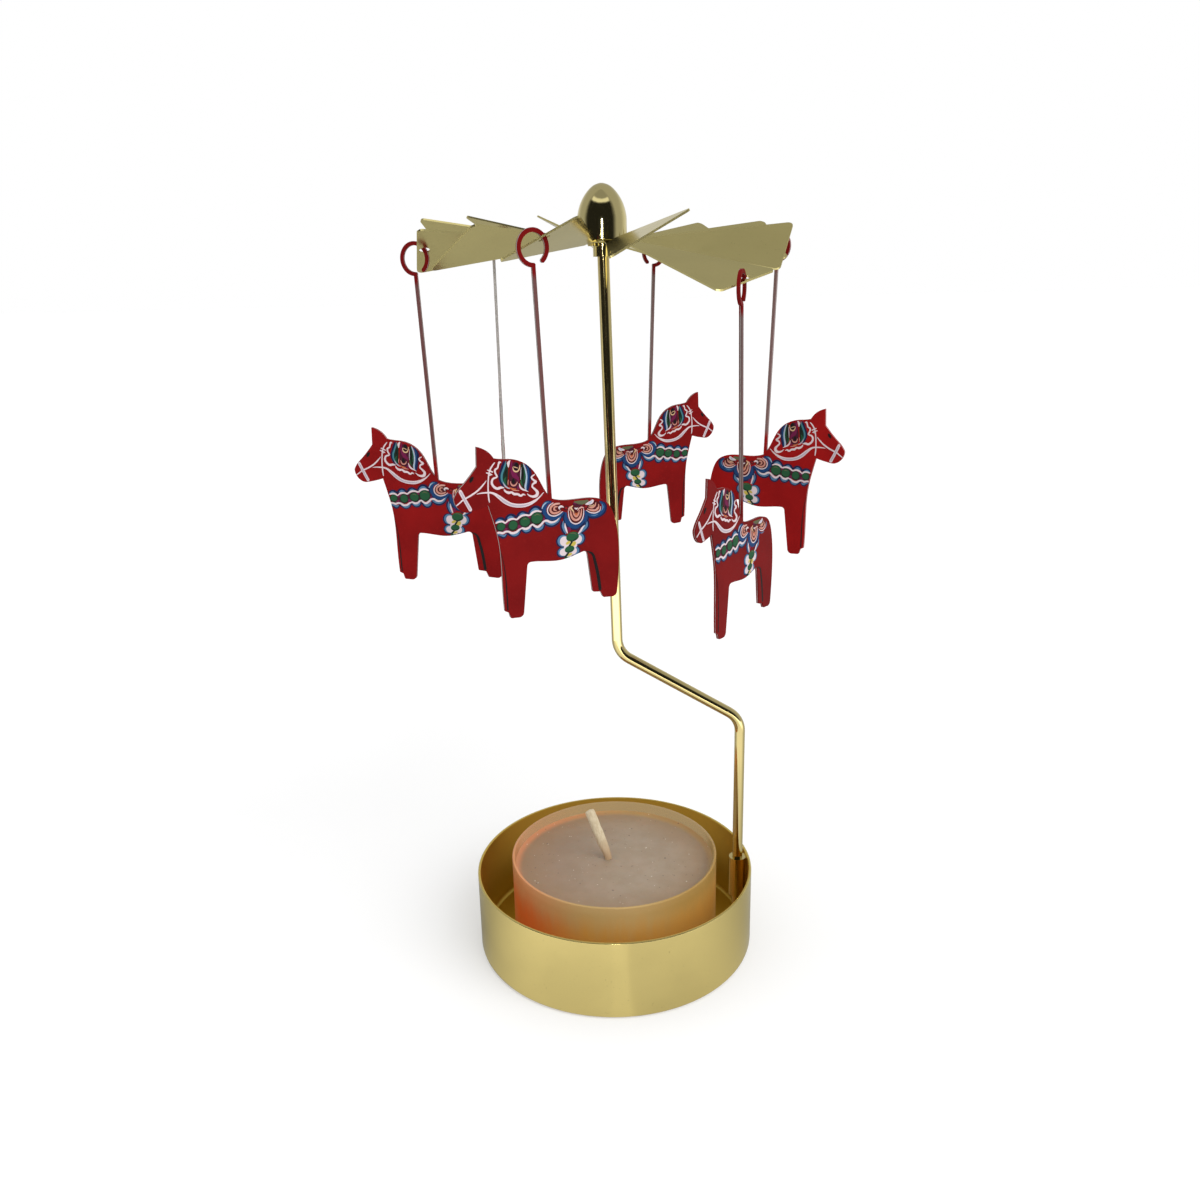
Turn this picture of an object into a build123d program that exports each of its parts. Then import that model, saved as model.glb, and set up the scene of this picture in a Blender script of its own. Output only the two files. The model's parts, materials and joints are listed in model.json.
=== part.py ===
"""A tealight carousel: warm air from a candle turns a bladed fan that carries six hanging horses.

Millimetres. The origin is the middle of the base's underside, +Z is up and -Y is the viewer's side.
Angles round the axis are counted from -Y towards +X, so they grow counter-clockwise seen from above.
"""
import os
from math import cos, radians, sin

from build123d import *

# Base cup, pressed from thin sheet
cup_diameter = 51.2
cup_height = 15.0
cup_wall = 0.5
cup_edge_radius = 0.9
cup_rim_round = 0.2

# Bent rod and the socket on the cup's wall that holds its foot
rod_diameter = 1.9
rod_side_angle = 95.0
rod_fit = 0.02
rod_lower_bend = 43.0
rod_upper_bend = 57.0
rod_upper_stray = 1.3
rod_bend_radius = 4.5
rod_point_length = 1.6
rod_point_radius = 0.15
socket_wall = 0.6
socket_height = 8.0
socket_below_rim = 0.5
socket_web = 1.6

# Fan cut from one sheet, its blades twisted and bent by hand
fan_height = 125.8
fan_sheet = 0.3
fan_disc_radius = 5.0
fan_first_angle = -17.2
blade_reach = 29.0
blade_edge = 13.0
blade_corner = 0.8
blade_neck_width = 1.9
blade_neck_length = 1.5
blade_neck_root = 0.4
blade_neck_flat = 0.3
blade_yaws = (0.0, 0.0, 4.0, 0.0, 0.0, 0.0, 0.0, 0.0, 0.0, 0.0, 0.0, 0.0)
blade_twists = (25.0, 28.0, 12.0, 32.0, 28.0, 28.0, 28.0, 28.0, 28.0, 28.0, 28.0, 27.0)
blade_lifts = (0.0, 1.0, -14.5, -3.0, 0.0, 0.9, -0.8, 5.8, 5.2, 3.0, -2.2, -1.8)

# Hole near the outer edge of every second blade, for a pendant's eye
hole_diameter = 1.7
hole_strip = 0.3
hole_aside = 0.5

# Hub: dome above the fan, collar below it, pivot bearing inside
dome_diameter = 7.8
dome_height = 8.6
dome_nose = 5.4
dome_base_round = 0.3
hub_bore = 3.0
bearing_depth = 5.2
bearing_length = 1.8
bearing_cone_depth = 0.9
bearing_cone_radius = 1.2
pivot_play = 0.03
collar_rise = 2.5
collar_flange_diameter = 4.6
collar_flange_thickness = 0.4
collar_drop = 2.0
collar_clearance = 0.2

# Pendants: a flat horse, its stem and its eye cut from one painted sheet
pendant_sheet = 0.5
eye_diameter = 5.1
eye_oval = 0.9
eye_band = 0.6
eye_arc = 318.0
eye_lean = 56.0
stem_width = 0.5
stem_drop = 31.6
stem_root = 1.2
horse_height = 25.4
horse_foot_round = 0.75
horse_leg_round = 0.6
horse_step_round = 0.25
horse_turns = (42.5, 8.5, 44.0, 43.0, 53.0, 64.0)
eye_turns = (42.5, 24.0, 44.0, 43.0, 53.0, 64.0)
pendant_numbers = (2, 3, 4, 5, 6, 1)

# Tealight standing in the cup
tealight_diameter = 38.4
tealight_height = 16.5
tealight_wall = 0.5
tealight_edge_radius = 1.0
tealight_rim_round = 0.2
tealight_back = 0.8
wax_below_rim = 2.2
wax_play = 0.02
wick_diameter = 1.5
wick_rise = 8.5
wick_lean_left = 3.8
wick_lean_back = 3.2
wick_bend_radius = 2.0
sustainer_diameter = 12.5
sustainer_sheet = 0.25
sustainer_neck_height = 3.0
sustainer_neck_wall = 0.35

# The horse's outline about its withers: +X towards the nose, +Y up, then scaled to the horse's height
outline_ear_back = [(10.7, 8.35), (9.4, 7.8), (8.25, 6.55)]
outline_mane = [(8.25, 6.55), (7.2, 6.35), (5.7, 6.2), (3.8, 5.5), (2.2, 3.9), (1.1, 1.8), (-0.2, 0.0)]
outline_back = [
    (-0.2, 0.0), (-2.6, -0.5), (-6.2, -0.55), (-8.7, -1.35), (-10.2, -4.2), (-10.7, -8.1),
    (-10.6, -12.3), (-10.4, -14.6),
]
outline_hind_leg = [
    (-10.4, -14.6), (-10.2, -16.1), (-8.0, -15.95), (-7.6, -15.0), (-6.3, -14.85), (-5.5, -8.25),
]
outline_belly = [(-5.5, -8.25), (-3.5, -8.8), (-1.2, -9.25), (0.8, -9.15), (2.5, -8.95), (3.93, -8.95)]
outline_fore_leg = [(3.93, -8.95), (4.87, -17.05), (6.85, -16.95), (7.1, -16.05), (7.7, -15.75)]
outline_chest = [
    (7.7, -15.75), (7.82, -12.6), (7.84, -9.7), (7.9, -7.5), (8.2, -4.7), (8.65, -2.7), (9.4, 0.05),
]
outline_jaw = [(9.4, 0.05), (10.4, -0.25), (11.6, -0.5), (12.7, -0.6), (13.8, 0.1), (14.3, 1.5)]
outline_face = [(14.3, 1.5), (13.75, 2.4), (12.6, 3.55), (11.55, 4.7), (10.8, 5.6)]
outline_ear_front = [(10.8, 5.6), (10.7, 8.35)]

# Sizes that follow from the ones above
cup_radius = cup_diameter / 2
cup_inner = cup_radius - cup_wall
rod_radius = rod_diameter / 2
socket_bore = rod_radius + rod_fit
socket_radius = socket_bore + socket_wall
socket_top = cup_height - socket_below_rim
rod_offset = cup_inner - socket_radius
fan_top = fan_height + fan_sheet / 2
fan_under = fan_height - fan_sheet / 2
bearing_top = fan_top + bearing_depth
bearing_under = bearing_top - bearing_length
rod_tip = bearing_under + bearing_cone_depth - pivot_play
blade_count = len(blade_twists)
blade_start = fan_disc_radius + blade_neck_length
hole_reach = blade_reach - hole_strip - hole_diameter / 2
eye_radius = eye_diameter / 2
eye_mean = eye_radius - eye_band / 2
drawn_height = outline_ear_back[0][1] - outline_fore_leg[1][1]
tealight_radius = tealight_diameter / 2
wax_radius = tealight_radius - tealight_wall - wax_play
wax_floor = cup_wall + tealight_wall
wax_top = cup_wall + tealight_height - wax_below_rim


def heading(angle):
    """Returns the compass direction of an angle, as the turn about Z that brings +X to it."""
    return angle - 90.0


def revolve_profile(*edges):
    """Turns a closed profile in the XZ plane into a round piece on the axis."""
    return revolve(make_face(Plane.XZ * Wire(edges)), Axis.Z)


def corner_lines(*points):
    """Joins points of a profile with straight edges."""
    return [Line(first, second) for first, second in zip(points, points[1:])]


def cup_solid(radius, height, wall, edge_radius, rim_round):
    """Makes a thin round cup that stands on the XY plane."""
    outside = Cylinder(radius, height, align=(Align.CENTER, Align.CENTER, Align.MIN))
    outside = fillet(outside.edges().group_by(Axis.Z)[0], edge_radius)
    inside = Pos(0, 0, wall) * Cylinder(radius - wall, height, align=(Align.CENTER, Align.CENTER, Align.MIN))
    inside = fillet(inside.edges().group_by(Axis.Z)[0], edge_radius - wall * 0.5)
    cup = outside - inside
    return fillet(cup.edges().group_by(Axis.Z)[-1], rim_round)


def base_cup():
    """Makes the base that holds the tealight and the rod."""
    return cup_solid(cup_radius, cup_height, cup_wall, cup_edge_radius, cup_rim_round)


def rod_socket():
    """Makes the sleeve for the rod's foot, with a web that meets the cup's inner wall."""
    low = socket_top - socket_height
    upright = (Align.CENTER, Align.CENTER, Align.MIN)
    sleeve = Pos(rod_offset, 0, low) * Cylinder(socket_radius, socket_height, align=upright)
    web = Pos(rod_offset + socket_radius / 2, 0, low) * Box(socket_radius, socket_web, socket_height, align=upright)
    inside = Pos(0, 0, low) * Cylinder(cup_inner, socket_height, align=upright)
    bore = Pos(rod_offset, 0, low) * Cylinder(socket_bore, socket_height, align=upright)
    return Rotation(0, 0, heading(rod_side_angle)) * (((sleeve + web) & inside) - bore)


def stand_rod():
    """Makes the bent rod, from the cup's floor to the point that carries the fan."""
    tip = Vector(0, 0, rod_tip)
    bend = Vector(rod_upper_stray, 0, rod_upper_bend)
    way = (tip - bend).normalized()
    shoulder = tip - way * rod_point_length
    path = FilletPolyline(
        (rod_offset, 0, cup_wall), (rod_offset, 0, rod_lower_bend), bend, shoulder, radius=rod_bend_radius
    )
    section = Plane(origin=(rod_offset, 0, cup_wall), z_dir=(0, 0, 1)) * Circle(rod_radius)
    rod = sweep(section, path)
    upright = (Align.CENTER, Align.CENTER, Align.MIN)
    point = Plane(origin=shoulder, z_dir=way) * Cone(rod_radius, rod_point_radius, rod_point_length, align=upright)
    return Rotation(0, 0, heading(rod_side_angle)) * (rod + point)


def blade_angle(index):
    """Returns the direction of a blade's middle line."""
    return fan_first_angle + index * 360.0 / blade_count + blade_yaws[index]


def bend_frame(index):
    """Returns the frame of a blade bent up or down at the disc's edge, before its twist."""
    turn = Rotation(0, 0, heading(blade_angle(index)))
    bend = Pos(fan_disc_radius, 0, 0) * Rotation(0, -blade_lifts[index], 0) * Pos(-fan_disc_radius, 0, 0)
    return Pos(0, 0, fan_height) * turn * bend


def blade_frame(index):
    """Returns the frame of a finished blade: +X out along its middle line, +Z square to its sheet."""
    return bend_frame(index) * Rotation(blade_twists[index], 0, 0)


def blade_solid(index, holed):
    """Makes one blade with its twisted neck."""
    half_neck = blade_neck_width / 2
    half_edge = blade_edge / 2
    outline = make_face(
        Polyline(
            (blade_start, -half_neck), (blade_reach, -half_edge), (blade_reach, half_edge), (blade_start, half_neck),
            close=True,
        )
    )
    outline = fillet(outline.vertices().group_by(Axis.X)[-1], blade_corner)
    if holed:
        outline = outline - Pos(hole_reach, hole_aside) * Circle(hole_diameter / 2)
    plate = blade_frame(index) * extrude(outline, fan_sheet / 2, both=True)
    flat = Pos(0, 0, fan_height) * Rotation(0, 0, heading(blade_angle(index)))
    bend = fan_disc_radius + blade_neck_flat
    root = fan_disc_radius - blade_neck_root
    tab = flat * Pos((bend + root) / 2, 0, 0) * Box(bend - root, blade_neck_width, fan_sheet)
    start = Plane(origin=(bend, 0, 0), x_dir=(0, 1, 0), z_dir=(1, 0, 0))
    end = Plane(origin=(blade_start, 0, 0), x_dir=(0, 1, 0), z_dir=(1, 0, 0))
    start_section = flat * (start * Rectangle(blade_neck_width, fan_sheet))
    end_section = blade_frame(index) * (end * Rectangle(blade_neck_width, fan_sheet))
    neck = loft([start_section.face(), end_section.face()], ruled=True)
    return tab + neck + plate


def fan_rotor():
    """Makes the fan: a disc with twelve blades, all one sheet."""
    upright = (Align.CENTER, Align.CENTER, Align.CENTER)
    disc = Pos(0, 0, fan_height) * Cylinder(fan_disc_radius, fan_sheet, align=upright)
    blades = [blade_solid(index, index % 2 == 0) for index in range(blade_count)]
    bore = Pos(0, 0, fan_height) * Cylinder(hub_bore / 2, fan_sheet * 2, align=upright)
    return disc.fuse(*blades) - bore


def hub_dome():
    """Makes the pointed dome that stands on the fan and hides the pivot."""
    top = fan_top + dome_height
    half = dome_diameter / 2
    nose = [
        (1.0, 1.0), (0.965, 0.8), (0.9, 0.63), (0.79, 0.45), (0.62, 0.265), (0.44, 0.128), (0.23, 0.0345),
        (0.11, 0.0079), (0.0, 0.0),
    ]
    curve = Spline(
        [(half * across, top - dome_nose * down) for across, down in nose],
        tangents=[(0, 1), (-1, 0)],
    )
    sides = corner_lines((0, top), (0, fan_top), (half, fan_top), (half, top - dome_nose))
    dome = revolve_profile(*sides, curve)
    dome = fillet(dome.edges().group_by(Axis.Z)[0], dome_base_round)
    upright = (Align.CENTER, Align.CENTER, Align.MIN)
    return dome - Pos(0, 0, fan_top) * Cylinder(hub_bore / 2, bearing_depth, align=upright)


def hub_collar():
    """Makes the flanged collar that clamps the fan to the dome and keeps the rod in its middle."""
    upright = (Align.CENTER, Align.CENTER, Align.MIN)
    sleeve_length = collar_drop + fan_sheet + collar_rise
    sleeve = Pos(0, 0, fan_under - collar_drop) * Cylinder(hub_bore / 2, sleeve_length, align=upright)
    flange = Pos(0, 0, fan_under - collar_flange_thickness) * Cylinder(
        collar_flange_diameter / 2, collar_flange_thickness, align=upright
    )
    bore = Pos(0, 0, fan_under - collar_drop) * Cylinder(rod_radius + collar_clearance, sleeve_length, align=upright)
    return sleeve + flange - bore


def pivot_bearing():
    """Makes the cup in the dome's bore that turns on the rod's point."""
    upright = (Align.CENTER, Align.CENTER, Align.MIN)
    body = Pos(0, 0, bearing_under) * Cylinder(hub_bore / 2, bearing_length, align=upright)
    seat = Pos(0, 0, bearing_under) * Cone(
        bearing_cone_radius, rod_point_radius * 1.4, bearing_cone_depth, align=upright
    )
    return body - seat


def horse_face():
    """Draws the horse about its withers: curves, straight-sided legs and rounded corners at feet and belly."""
    share = horse_height / drawn_height
    curves = []
    for points in (
        outline_ear_back, outline_mane, outline_back, outline_belly, outline_chest, outline_jaw, outline_face,
    ):
        curves.append(Spline([(x * share, y * share) for x, y in points]))
    for points in (outline_hind_leg, outline_fore_leg, outline_ear_front):
        curves.extend(corner_lines(*[(x * share, y * share) for x, y in points]))
    face = make_face(curves)
    for (x, y), radius in (
        (outline_hind_leg[1], horse_foot_round), (outline_fore_leg[1], horse_foot_round),
        (outline_hind_leg[2], horse_step_round), (outline_fore_leg[2], horse_step_round),
        (outline_hind_leg[4], horse_step_round), (outline_belly[0], horse_leg_round),
        (outline_belly[-1], horse_leg_round),
    ):
        corner = face.vertices().sort_by_distance((x * share, y * share, 0))[0]
        face = fillet(corner, radius)
    return face


def eye_heading(index):
    """Returns the way a pendant's eye faces, as the turn about Z that brings +X to its horse's nose side."""
    return heading(blade_angle(index * 2)) - 90.0 + eye_turns[index]


def eye_centre(index):
    """Returns the middle of a pendant's eye: its band runs through the middle of the blade's hole."""
    hole = (blade_frame(index * 2) * Pos(hole_reach, hole_aside, 0)).position
    way = radians(eye_heading(index))
    reach = eye_mean * eye_oval * sin(radians(eye_lean))
    return hole + Vector(reach * cos(way), reach * sin(way), -eye_mean * cos(radians(eye_lean)))


def pendant(index):
    """Makes one pendant, hung by its eye from the hole in its blade."""
    horse = horse_face()
    balance = horse.center(CenterOf.MASS).X
    drop = eye_radius + stem_drop
    half = stem_width / 2
    stem = make_face(
        Polyline(
            (-half, -eye_mean), (half, -eye_mean), (half - balance, -drop - stem_root),
            (-half - balance, -drop - stem_root), close=True,
        )
    )
    figure = Pos(-balance, -drop) * horse + stem
    plate = extrude(Plane.XZ * figure, pendant_sheet / 2, both=True)
    eye = scale(SlotArc(CenterArc((0, 0), eye_mean, -90, eye_arc), eye_band), by=(eye_oval, 1, 1))
    ring = extrude(Plane.XZ * eye, pendant_sheet / 2, both=True)
    ring_turn = eye_heading(index)
    plate_turn = ring_turn + horse_turns[index] - eye_turns[index]
    hung = Rotation(0, 0, plate_turn) * plate + Rotation(0, 0, ring_turn) * ring
    return Pos(eye_centre(index)) * hung


def tealight_cup():
    """Makes the tealight's clear cup, standing on the base's floor."""
    cup = cup_solid(tealight_radius, tealight_height, tealight_wall, tealight_edge_radius, tealight_rim_round)
    return Pos(0, tealight_back, cup_wall) * cup


def wick_sustainer():
    """Makes the thin foot that holds the wick at the bottom of the wax."""
    upright = (Align.CENTER, Align.CENTER, Align.MIN)
    foot = Cylinder(sustainer_diameter / 2, sustainer_sheet, align=upright)
    neck = Cylinder(wick_diameter / 2 + sustainer_neck_wall, sustainer_neck_height, align=upright)
    bore = Cylinder(wick_diameter / 2 + wax_play, sustainer_neck_height, align=upright)
    return Pos(0, tealight_back, wax_floor) * (foot + neck - bore)


def tealight_wick():
    """Makes the wick, upright in the wax and leaning over above it."""
    path = FilletPolyline(
        (0, 0, wax_floor), (0, 0, wax_top + wick_bend_radius * 0.5),
        (-wick_lean_left, wick_lean_back, wax_top + wick_rise),
        radius=wick_bend_radius,
    )
    section = Plane(origin=(0, 0, wax_floor), z_dir=(0, 0, 1)) * Circle(wick_diameter / 2)
    return Pos(0, tealight_back, 0) * sweep(section, path)


def tealight_wax():
    """Makes the wax, cast round the wick and its foot."""
    upright = (Align.CENTER, Align.CENTER, Align.MIN)
    wax = Cylinder(wax_radius, wax_top - wax_floor, align=upright)
    wax = fillet(wax.edges().group_by(Axis.Z)[0], tealight_edge_radius - tealight_wall * 0.5 + wax_play)
    channel = Cylinder(wick_diameter / 2 + wax_play, wax_top - wax_floor, align=upright)
    foot = Cylinder(sustainer_diameter / 2 + wax_play, sustainer_sheet + wax_play, align=upright)
    neck_radius = wick_diameter / 2 + sustainer_neck_wall + wax_play
    neck = Cylinder(neck_radius, sustainer_neck_height + wax_play, align=upright)
    return Pos(0, tealight_back, wax_floor) * (wax - channel - foot - neck)


os.makedirs("parts", exist_ok=True)
pieces = {
    "base_cup": base_cup(),
    "rod_socket": rod_socket(),
    "stand_rod": stand_rod(),
    "fan_rotor": fan_rotor(),
    "hub_dome": hub_dome(),
    "hub_collar": hub_collar(),
    "pivot_bearing": pivot_bearing(),
    "tealight_cup": tealight_cup(),
    "tealight_wax": tealight_wax(),
    "tealight_wick": tealight_wick(),
    "wick_sustainer": wick_sustainer(),
}
for index, number in enumerate(pendant_numbers):
    pieces[f"pendant_{number}"] = pendant(index)
for name, piece in pieces.items():
    export_step(piece, f"parts/{name}.step")
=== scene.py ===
# %% [markdown]
# # A tealight carousel with six painted horses
# A candle stands in a shallow gold cup. Its warm air turns a fan of twelve blades, and six flat red
# horses hang from that fan. The shapes of the metal come from the CAD model. This lesson gives them
# their finishes, paints the horses with raised brush strokes, and makes the wax and the wick as new
# surfaces.

import json

import bpy
import numpy as np
from mathutils import Matrix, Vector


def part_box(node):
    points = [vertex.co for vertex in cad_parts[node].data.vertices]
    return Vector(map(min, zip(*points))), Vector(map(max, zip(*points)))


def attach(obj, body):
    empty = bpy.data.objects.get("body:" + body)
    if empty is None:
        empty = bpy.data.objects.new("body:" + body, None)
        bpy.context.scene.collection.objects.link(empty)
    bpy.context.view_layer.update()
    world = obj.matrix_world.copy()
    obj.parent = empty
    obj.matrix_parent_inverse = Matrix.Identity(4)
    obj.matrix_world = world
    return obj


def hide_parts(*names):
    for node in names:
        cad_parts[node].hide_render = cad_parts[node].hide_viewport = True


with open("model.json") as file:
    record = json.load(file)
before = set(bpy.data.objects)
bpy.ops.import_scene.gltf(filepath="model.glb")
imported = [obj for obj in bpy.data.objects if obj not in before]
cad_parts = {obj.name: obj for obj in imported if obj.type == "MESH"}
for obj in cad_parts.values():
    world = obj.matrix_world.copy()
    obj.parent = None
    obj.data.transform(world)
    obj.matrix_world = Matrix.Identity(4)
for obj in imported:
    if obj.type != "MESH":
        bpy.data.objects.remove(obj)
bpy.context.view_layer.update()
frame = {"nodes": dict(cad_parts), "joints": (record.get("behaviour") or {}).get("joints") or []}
nodes = frame["nodes"]

# %% [markdown]
# ## The camera
# The photograph looks slightly down on the carousel from close by. The camera's place, its lens and its
# three angles were found by fitting the CAD's points to the photograph. The camera's axes are worked
# out as vectors, which is easier to check than a chain of rotations: ahead, across the picture and down
# the picture.

# %% Place the camera
def add_object(name, data):
    """A new object of the scene, at the origin, that shows this data."""
    added = bpy.data.objects.new(name, data)
    bpy.context.collection.objects.link(added)
    return added


camera_at = np.array([0.0, -0.1762, 0.1220])
yaw, pitch, roll = np.radians([-0.525, 17.405, 1.27])
ahead = np.array([np.sin(yaw) * np.cos(pitch), np.cos(yaw) * np.cos(pitch), -np.sin(pitch)])
level = np.array([np.cos(yaw), -np.sin(yaw), 0.0])
below = np.cross(ahead, level)
across = np.cos(roll) * level + np.sin(roll) * below
down = np.cos(roll) * below - np.sin(roll) * level
axes = np.eye(4)
axes[:3] = np.stack([across, -down, -ahead, camera_at], axis=1)
lens = bpy.data.cameras.new("camera")
lens.lens = 31.8
lens.clip_start = 0.01
camera = add_object("camera", lens)
camera.matrix_world = Matrix(axes.tolist())
scene = bpy.context.scene
scene.camera = camera
scene.view_settings.view_transform = "Standard"
print("camera looks along", np.round(ahead, 3).tolist())

# %% [markdown]
# ## Writing shader maths as Python
# A material is a graph of nodes. Adding each Math node by hand hides the formula, so a Wire holds one
# output socket and Python's own operators add the Math nodes. Every other node comes from Graph.node,
# which sets the node's settings first and then its sockets, because some settings change which sockets
# a node has. The other methods of Graph are short names for the nodes that this lesson needs often.

# %% A wire and a graph
class Wire:
    """One output socket of a graph. Arithmetic on it adds a Math node."""

    def __init__(self, graph, socket):
        self.graph = graph
        self.socket = socket

    def math(self, operation, *values):
        """A Math node of that operation, with these values or wires as its inputs."""
        return self.graph.node("ShaderNodeMath", {"operation": operation}, dict(enumerate(values)))

    def __add__(self, other):
        return self.math("ADD", self, other)

    def __radd__(self, other):
        return self.math("ADD", other, self)

    def __sub__(self, other):
        return self.math("SUBTRACT", self, other)

    def __rsub__(self, other):
        return self.math("SUBTRACT", other, self)

    def __mul__(self, other):
        return self.math("MULTIPLY", self, other)

    def __rmul__(self, other):
        return self.math("MULTIPLY", other, self)

    def __truediv__(self, other):
        return self.math("DIVIDE", self, other)

    def __pow__(self, other):
        return self.math("POWER", self, other)

    def __abs__(self):
        return self.math("ABSOLUTE", self)

    def most(self, other):
        """The larger of the two values."""
        return self.math("MAXIMUM", self, other)

    def step(self, start, end):
        """0 below start, 1 above end and a smooth climb between them."""
        settings = {"interpolation_type": "SMOOTHSTEP"}
        values = {"Value": self, "From Min": start, "From Max": end}
        return self.graph.node("ShaderNodeMapRange", settings, values)


class Graph:
    """The node tree of a material or of the world, and the one way to add a node to it."""

    def __init__(self, tree):
        self.tree = tree

    def plug(self, socket, value):
        """Links a wire to a socket, or sets the socket to a plain value."""
        if isinstance(value, Wire):
            self.tree.links.new(value.socket, socket)
        else:
            socket.default_value = value

    def node(self, kind, settings=None, values=None, output=0):
        """A node of that kind: settings first, then the values or wires of its sockets. Gives one output."""
        made = self.tree.nodes.new(kind)
        for name, value in (settings or {}).items():
            setattr(made, name, value)
        for key, value in (values or {}).items():
            self.plug(made.inputs[key], value)
        return Wire(self, made.outputs[output])

    def place(self, output="Object"):
        """The point of the surface in the object's own frame, in metres, or its normal there."""
        return self.node("ShaderNodeTexCoord", output=output)

    def axis(self, letter):
        """The X, Y or Z of the place, in metres."""
        return self.node("ShaderNodeSeparateXYZ", {}, {0: self.place()}, letter)

    def vector(self, operation, *values, output="Vector"):
        """A Vector Math node of that operation. Where its output is Value, it gives a number."""
        return self.node("ShaderNodeVectorMath", {"operation": operation}, dict(enumerate(values)), output)

    def along(self, arrow, direction):
        """How far an arrow reaches along a direction: the sum of their products, axis by axis."""
        return self.vector("DOT_PRODUCT", arrow, direction, output="Value")

    def from_axis(self, x=0.0, y=0.0):
        """The distance from the upright line through x and y: the root of the squares' sum."""
        flat = self.vector("MULTIPLY", self.place(), (1, 1, 0))
        return self.vector("DISTANCE", flat, (x, y, 0), output="Value")

    def ray(self, kind):
        """1 where a ray of that kind arrives, such as Camera or Glossy, and otherwise 0."""
        return self.node("ShaderNodeLightPath", output=f"Is {kind} Ray")

    def noise(self, scale, detail=2.0, roughness=0.5, vector=None):
        """Soft random values near 0.5, whose lumps are about 1/scale metres across."""
        values = {"Scale": scale, "Detail": detail, "Roughness": roughness}
        values["Vector"] = vector or self.place()
        return self.node("ShaderNodeTexNoise", {}, values)

    def stretched(self, x, y, z):
        """The place with its axes multiplied, to draw a pattern out into streaks."""
        return self.node("ShaderNodeMapping", {}, {"Vector": self.place(), "Scale": (x, y, z)})

    def blend(self, share, one, other):
        """The colour one where share is 0 and other where it is 1."""
        return self.node("ShaderNodeMix", {"data_type": "RGBA"}, {0: share, 6: one, 7: other}, output=2)

    def bump(self, height, distance):
        """A normal tilted by height, a wire from 0 to 1 that stands for that many metres."""
        return self.node("ShaderNodeBump", {}, {"Height": height, "Distance": distance, "Strength": 1.0})


def tone(red, green, blue):
    """A colour as seen on a screen, 0 to 255, as the linear values that shaders take."""
    share = np.array([red, green, blue]) / 255
    linear = np.where(share <= 0.04045, share / 12.92, ((share + 0.055) / 1.055) ** 2.4)
    return (*linear.tolist(), 1.0)


def grey(level):
    """A colour without hue, in a shader's linear values."""
    return (level, level, level, 1)


def darker(tint, share):
    """A colour with its light cut down to a share."""
    return (*(np.array(tint[:3]) * share).tolist(), 1.0)


def finish(name, **constants):
    """A new material with its constants set on the shader's sockets. Gives material, graph and shader."""
    material = bpy.data.materials.new(name)
    material.use_nodes = True
    graph = Graph(material.node_tree)
    shader = material.node_tree.nodes["Principled BSDF"].inputs
    for key, value in constants.items():
        shader[key.replace("_", " ")].default_value = value
    return material, graph, shader


def dress(node, material):
    """Gives a CAD node its material. The node's shape stays as it is."""
    for place in nodes[node].material_slots:
        place.material = material


print("middle grey on a screen is", round(tone(128, 128, 128)[0], 3), "in a shader")

# %% [markdown]
# ## Floor and studio light
# The photograph has a white ground with only a faint shadow beside the cup. The floor is pale and takes
# shadows, and it gains a little light of its own that only the camera and mirrors see, which brings it
# to white. The world is white to the camera. What polished metal mirrors is the room: grey walls and
# ceiling, a paler wall behind, the bright table in front, the dark side where the photographer stands
# and a strip of light above it. Those contrasts make gold look like polished gold.

# %% Floor
half_side = 4.0
front_edge = -0.225
floor_drop = 0.00003
corners = np.array([[-1, 0, 0], [1, 0, 0], [1, 1, 0], [-1, 1, 0]]) * half_side - [0, 0, floor_drop]
corners[:2, 1] = front_edge
floor_mesh = bpy.data.meshes.new("floor")
floor_mesh.from_pydata(corners.tolist(), [], [(0, 1, 2, 3)])
floor = add_object("floor", floor_mesh)
paper, graph, shader = finish("floor_paper", Roughness=0.9, Specular_IOR_Level=0.0, Emission_Strength=1.0)
mirror_ray = graph.ray("Glossy")
# Mirrors see the floor darker than the camera does: painted shade in the metal's reflections.
graph.plug(shader["Base Color"], graph.blend(mirror_ray, tone(203, 203, 203), tone(176, 176, 176)))

# Painted reflection, a light of the floor's own that only mirrors see: darker beside the cup and behind
# it, brighter further out, with a bright stripe in front that paints a highlight down the cup, and
# painted shade to its right.
back = graph.axis("Y")
away = graph.vector("LENGTH", graph.place(), output="Value")
rising = 0.33 + away.step(0.03, 0.07) * 0.3 + away.step(0.11, 0.18) * 1.5
mirrored = rising * (1 - (back / away).step(-0.75, 0.15))
bearing = graph.axis("X") / away
highlight_stripe = bearing.step(-0.06, -0.01) * (1 - bearing.step(0.08, 0.13)) * 0.12
shaded = bearing.step(0.08, 0.16) * 0.26
mirrored = mirrored * (1 + (highlight_stripe - shaded) * (1 - away.step(0.06, 0.09)))
glow = graph.blend(mirror_ray, grey(0), mirrored)

# What the camera sees, straight or through the candle's cup: lifted to white, and lifted more in front,
# where the extra light paints out the cup's shade on the floor.
lift = graph.blend(back.step(-0.05, 0.0), grey(0.43), grey(0.335))
seen = graph.ray("Camera").most(graph.ray("Transmission"))
graph.plug(shader["Emission Color"], graph.blend(seen, glow, lift))
floor_mesh.materials.append(paper)
print("floor side in m:", 2 * half_side, "front edge at", front_edge)

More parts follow.
